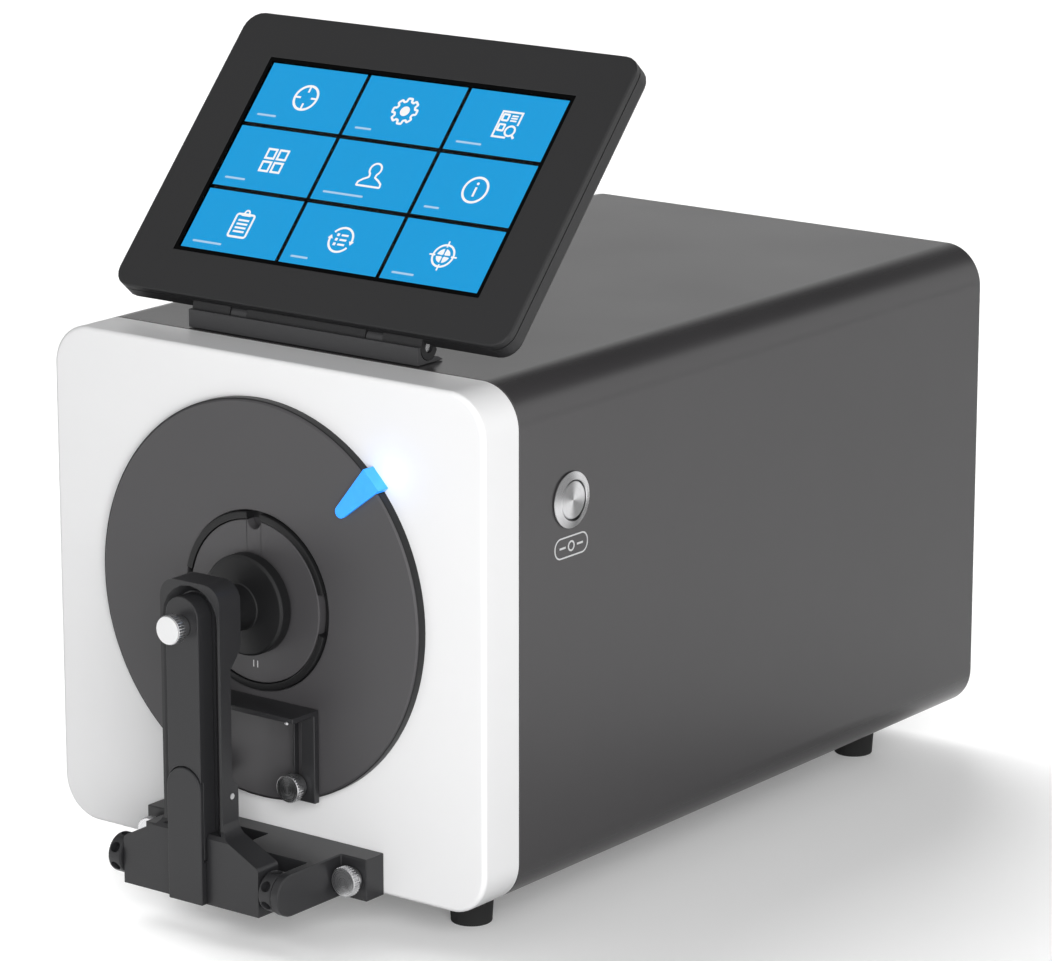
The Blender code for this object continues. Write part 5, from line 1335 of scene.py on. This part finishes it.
class INSTRUMENT_OT_studio(InstrumentOperator, bpy.types.Operator):
    """Set the floor, the lamps, the world and the camera"""

    bl_idname = "instrument.studio"
    bl_label = "Studio and camera"

    def build(self, scene):
        look = scene.instrument_studio
        self.floor(look)
        self.lamps(look)
        self.world(scene, look)
        self.camera(scene, look)
        scene.view_settings.view_transform = "Standard"

    def floor(self, look):
        """A round floor that glows a little to the camera and gives back less light."""
        shape = bmesh.new()
        rows = [[shape.verts.new((size * x, size * y, 0.0)) for x, y in circle(1.0, 64)]
                for size in (0.5, 1.5, 4.0, 9.0)]
        shape.faces.new(rows[0])
        skin(shape, rows)
        data = mesh_of("studio_floor", shape)
        material = bpy.data.materials.new("studio floor")
        tree = new_tree(material)
        light = add(tree, "LightPath").outputs
        glow = ranged(tree, light["Is Camera Ray"], 0.0, 0.15, 0.0, 1.0)
        colour = mixed(tree, light["Is Diffuse Ray"], shade(look.floor_colour),
                       (0.30, 0.30, 0.30, 1.0))
        connect(tree, tree.nodes["Principled BSDF"], {
            "Roughness": 0.9, "Specular IOR Level": 0.0, "Base Color": colour,
            "Emission Color": (1.0, 1.0, 1.0, 1.0), "Emission Strength": glow})
        data.materials.append(material)
        floor = placed("studio_floor", data)

    def lamp(self, name, kind, energy, turn):
        data = bpy.data.lights.new(name, kind)
        data.energy = energy
        lamp = placed(name, data)
        lamp.rotation_euler = [math.radians(angle) for angle in turn]
        return lamp

    def lamps(self, look):
        key = self.lamp("front right soft box", "AREA", look.key, (73.5, 0.0, 46.0))
        key.data.size = 1.1
        key.location = (1.12, FRONT - 1.08, 0.54)
        back = self.lamp("back light", "SUN", look.back, (82.0, 0.0, -135.0))
        back.data.angle = math.radians(40.0)
        for lamp in (key, back):
            lamp.visible_glossy = False
        left = self.lamp("floor light", "SUN", look.left, (52.0, 0.0, -103.0))
        left.data.angle = math.radians(76.0)
        fall_only_on(left, "lit by the floor light", "studio_floor")

    def world(self, scene, look):
        """White to the camera and through glass; in gloss it is dark high up behind."""
        scene.world = bpy.data.worlds.new("studio")
        tree = new_tree(scene.world)
        light = add(tree, "LightPath").outputs
        place = add(tree, "TexCoord").outputs["Generated"]
        split = add(tree, "SeparateXYZ", {"Vector": place}).outputs
        high = ranged(tree, split["Z"], 0.0, 1.0, 0.36, 0.56, "SMOOTHSTEP")
        behind = ranged(tree, split["Y"], 0.0, 1.0, -0.1, 0.3, "SMOOTHSTEP")
        sides = ranged(tree, split["X"], 0.62, 1.2, -0.2, 0.5)
        gloss = ranged(tree, maths(tree, "MULTIPLY", high, behind), sides, 0.05, 0.0, 1.0)
        room = mixed(tree, light["Is Glossy Ray"], look.sky, gloss, "FLOAT")
        clear = maths(tree, "MAXIMUM", light["Is Camera Ray"], light["Is Transmission Ray"])
        connect(tree, tree.nodes["Background"], {
            "Color": (1.0, 1.0, 1.0, 1.0), "Strength": mixed(tree, clear, room, 1.0, "FLOAT")})

    def camera(self, scene, look):
        data = bpy.data.cameras.new("camera")
        camera = placed("camera", data)
        sine, cosine = math.sin(look.turn), math.cos(look.turn)
        aim = Vector((cosine * look.across, sine * look.across + FRONT, look.height))
        level = look.distance * math.cos(look.pitch)
        camera.location = aim + Vector((sine * level, -cosine * level,
                                        look.distance * math.sin(look.pitch)))
        camera.rotation_euler = (math.pi / 2 - look.pitch, 0.0, look.turn)
        data.sensor_width = 36.0
        data.lens = look.focal / IMAGE_WIDTH * data.sensor_width
        data.clip_start = 0.01
        scene.camera = camera


class INSTRUMENT_PT_panel(bpy.types.Panel):
    """Lists the settings and the steps"""

    bl_idname = "INSTRUMENT_PT_panel"
    bl_label = "Spectrophotometer"
    bl_space_type = "VIEW_3D"
    bl_region_type = "UI"
    bl_category = "Instrument"

    def draw(self, context):
        layout = self.layout
        for name, (label, group) in SETTINGS.items():
            box = layout.box()
            box.label(text=label)
            for field in group.__annotations__:
                box.prop(getattr(context.scene, name), field)
        for operator in STEPS:
            layout.operator(operator.bl_idname)


SETTINGS = {
    "instrument_finish": ("Finishes", FinishSettings),
    "instrument_display": ("Display", DisplaySettings),
    "instrument_guide": ("Light guide", GuideSettings),
    "instrument_knurl": ("Knurling", KnurlSettings),
    "instrument_studio": ("Studio", StudioSettings),
}
STEPS = (INSTRUMENT_OT_studio, INSTRUMENT_OT_finishes, INSTRUMENT_OT_housing, INSTRUMENT_OT_port,
         INSTRUMENT_OT_screen, INSTRUMENT_OT_display, INSTRUMENT_OT_clamp, INSTRUMENT_OT_shelf,
         INSTRUMENT_OT_knurled_heads, INSTRUMENT_OT_button, INSTRUMENT_OT_rear)


def register():
    for label, group in SETTINGS.values():
        bpy.utils.register_class(group)
    for operator in STEPS:
        bpy.utils.register_class(operator)
    bpy.utils.register_class(INSTRUMENT_PT_panel)
    for name, (label, group) in SETTINGS.items():
        setattr(bpy.types.Scene, name, bpy.props.PointerProperty(type=group))


def unregister():
    for name in SETTINGS:
        delattr(bpy.types.Scene, name)
    bpy.utils.unregister_class(INSTRUMENT_PT_panel)
    for operator in reversed(STEPS):
        bpy.utils.unregister_class(operator)
    for label, group in SETTINGS.values():
        bpy.utils.unregister_class(group)


def main():
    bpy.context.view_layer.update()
    for name in [o.name for o in bpy.data.objects if o.type in ("LIGHT", "CAMERA")]:
        bpy.data.objects.remove(bpy.data.objects[name])
    register()
    for operator in STEPS:
        getattr(bpy.ops.instrument, operator.bl_idname.split(".")[1])()


if __name__ == "__main__":
    main()
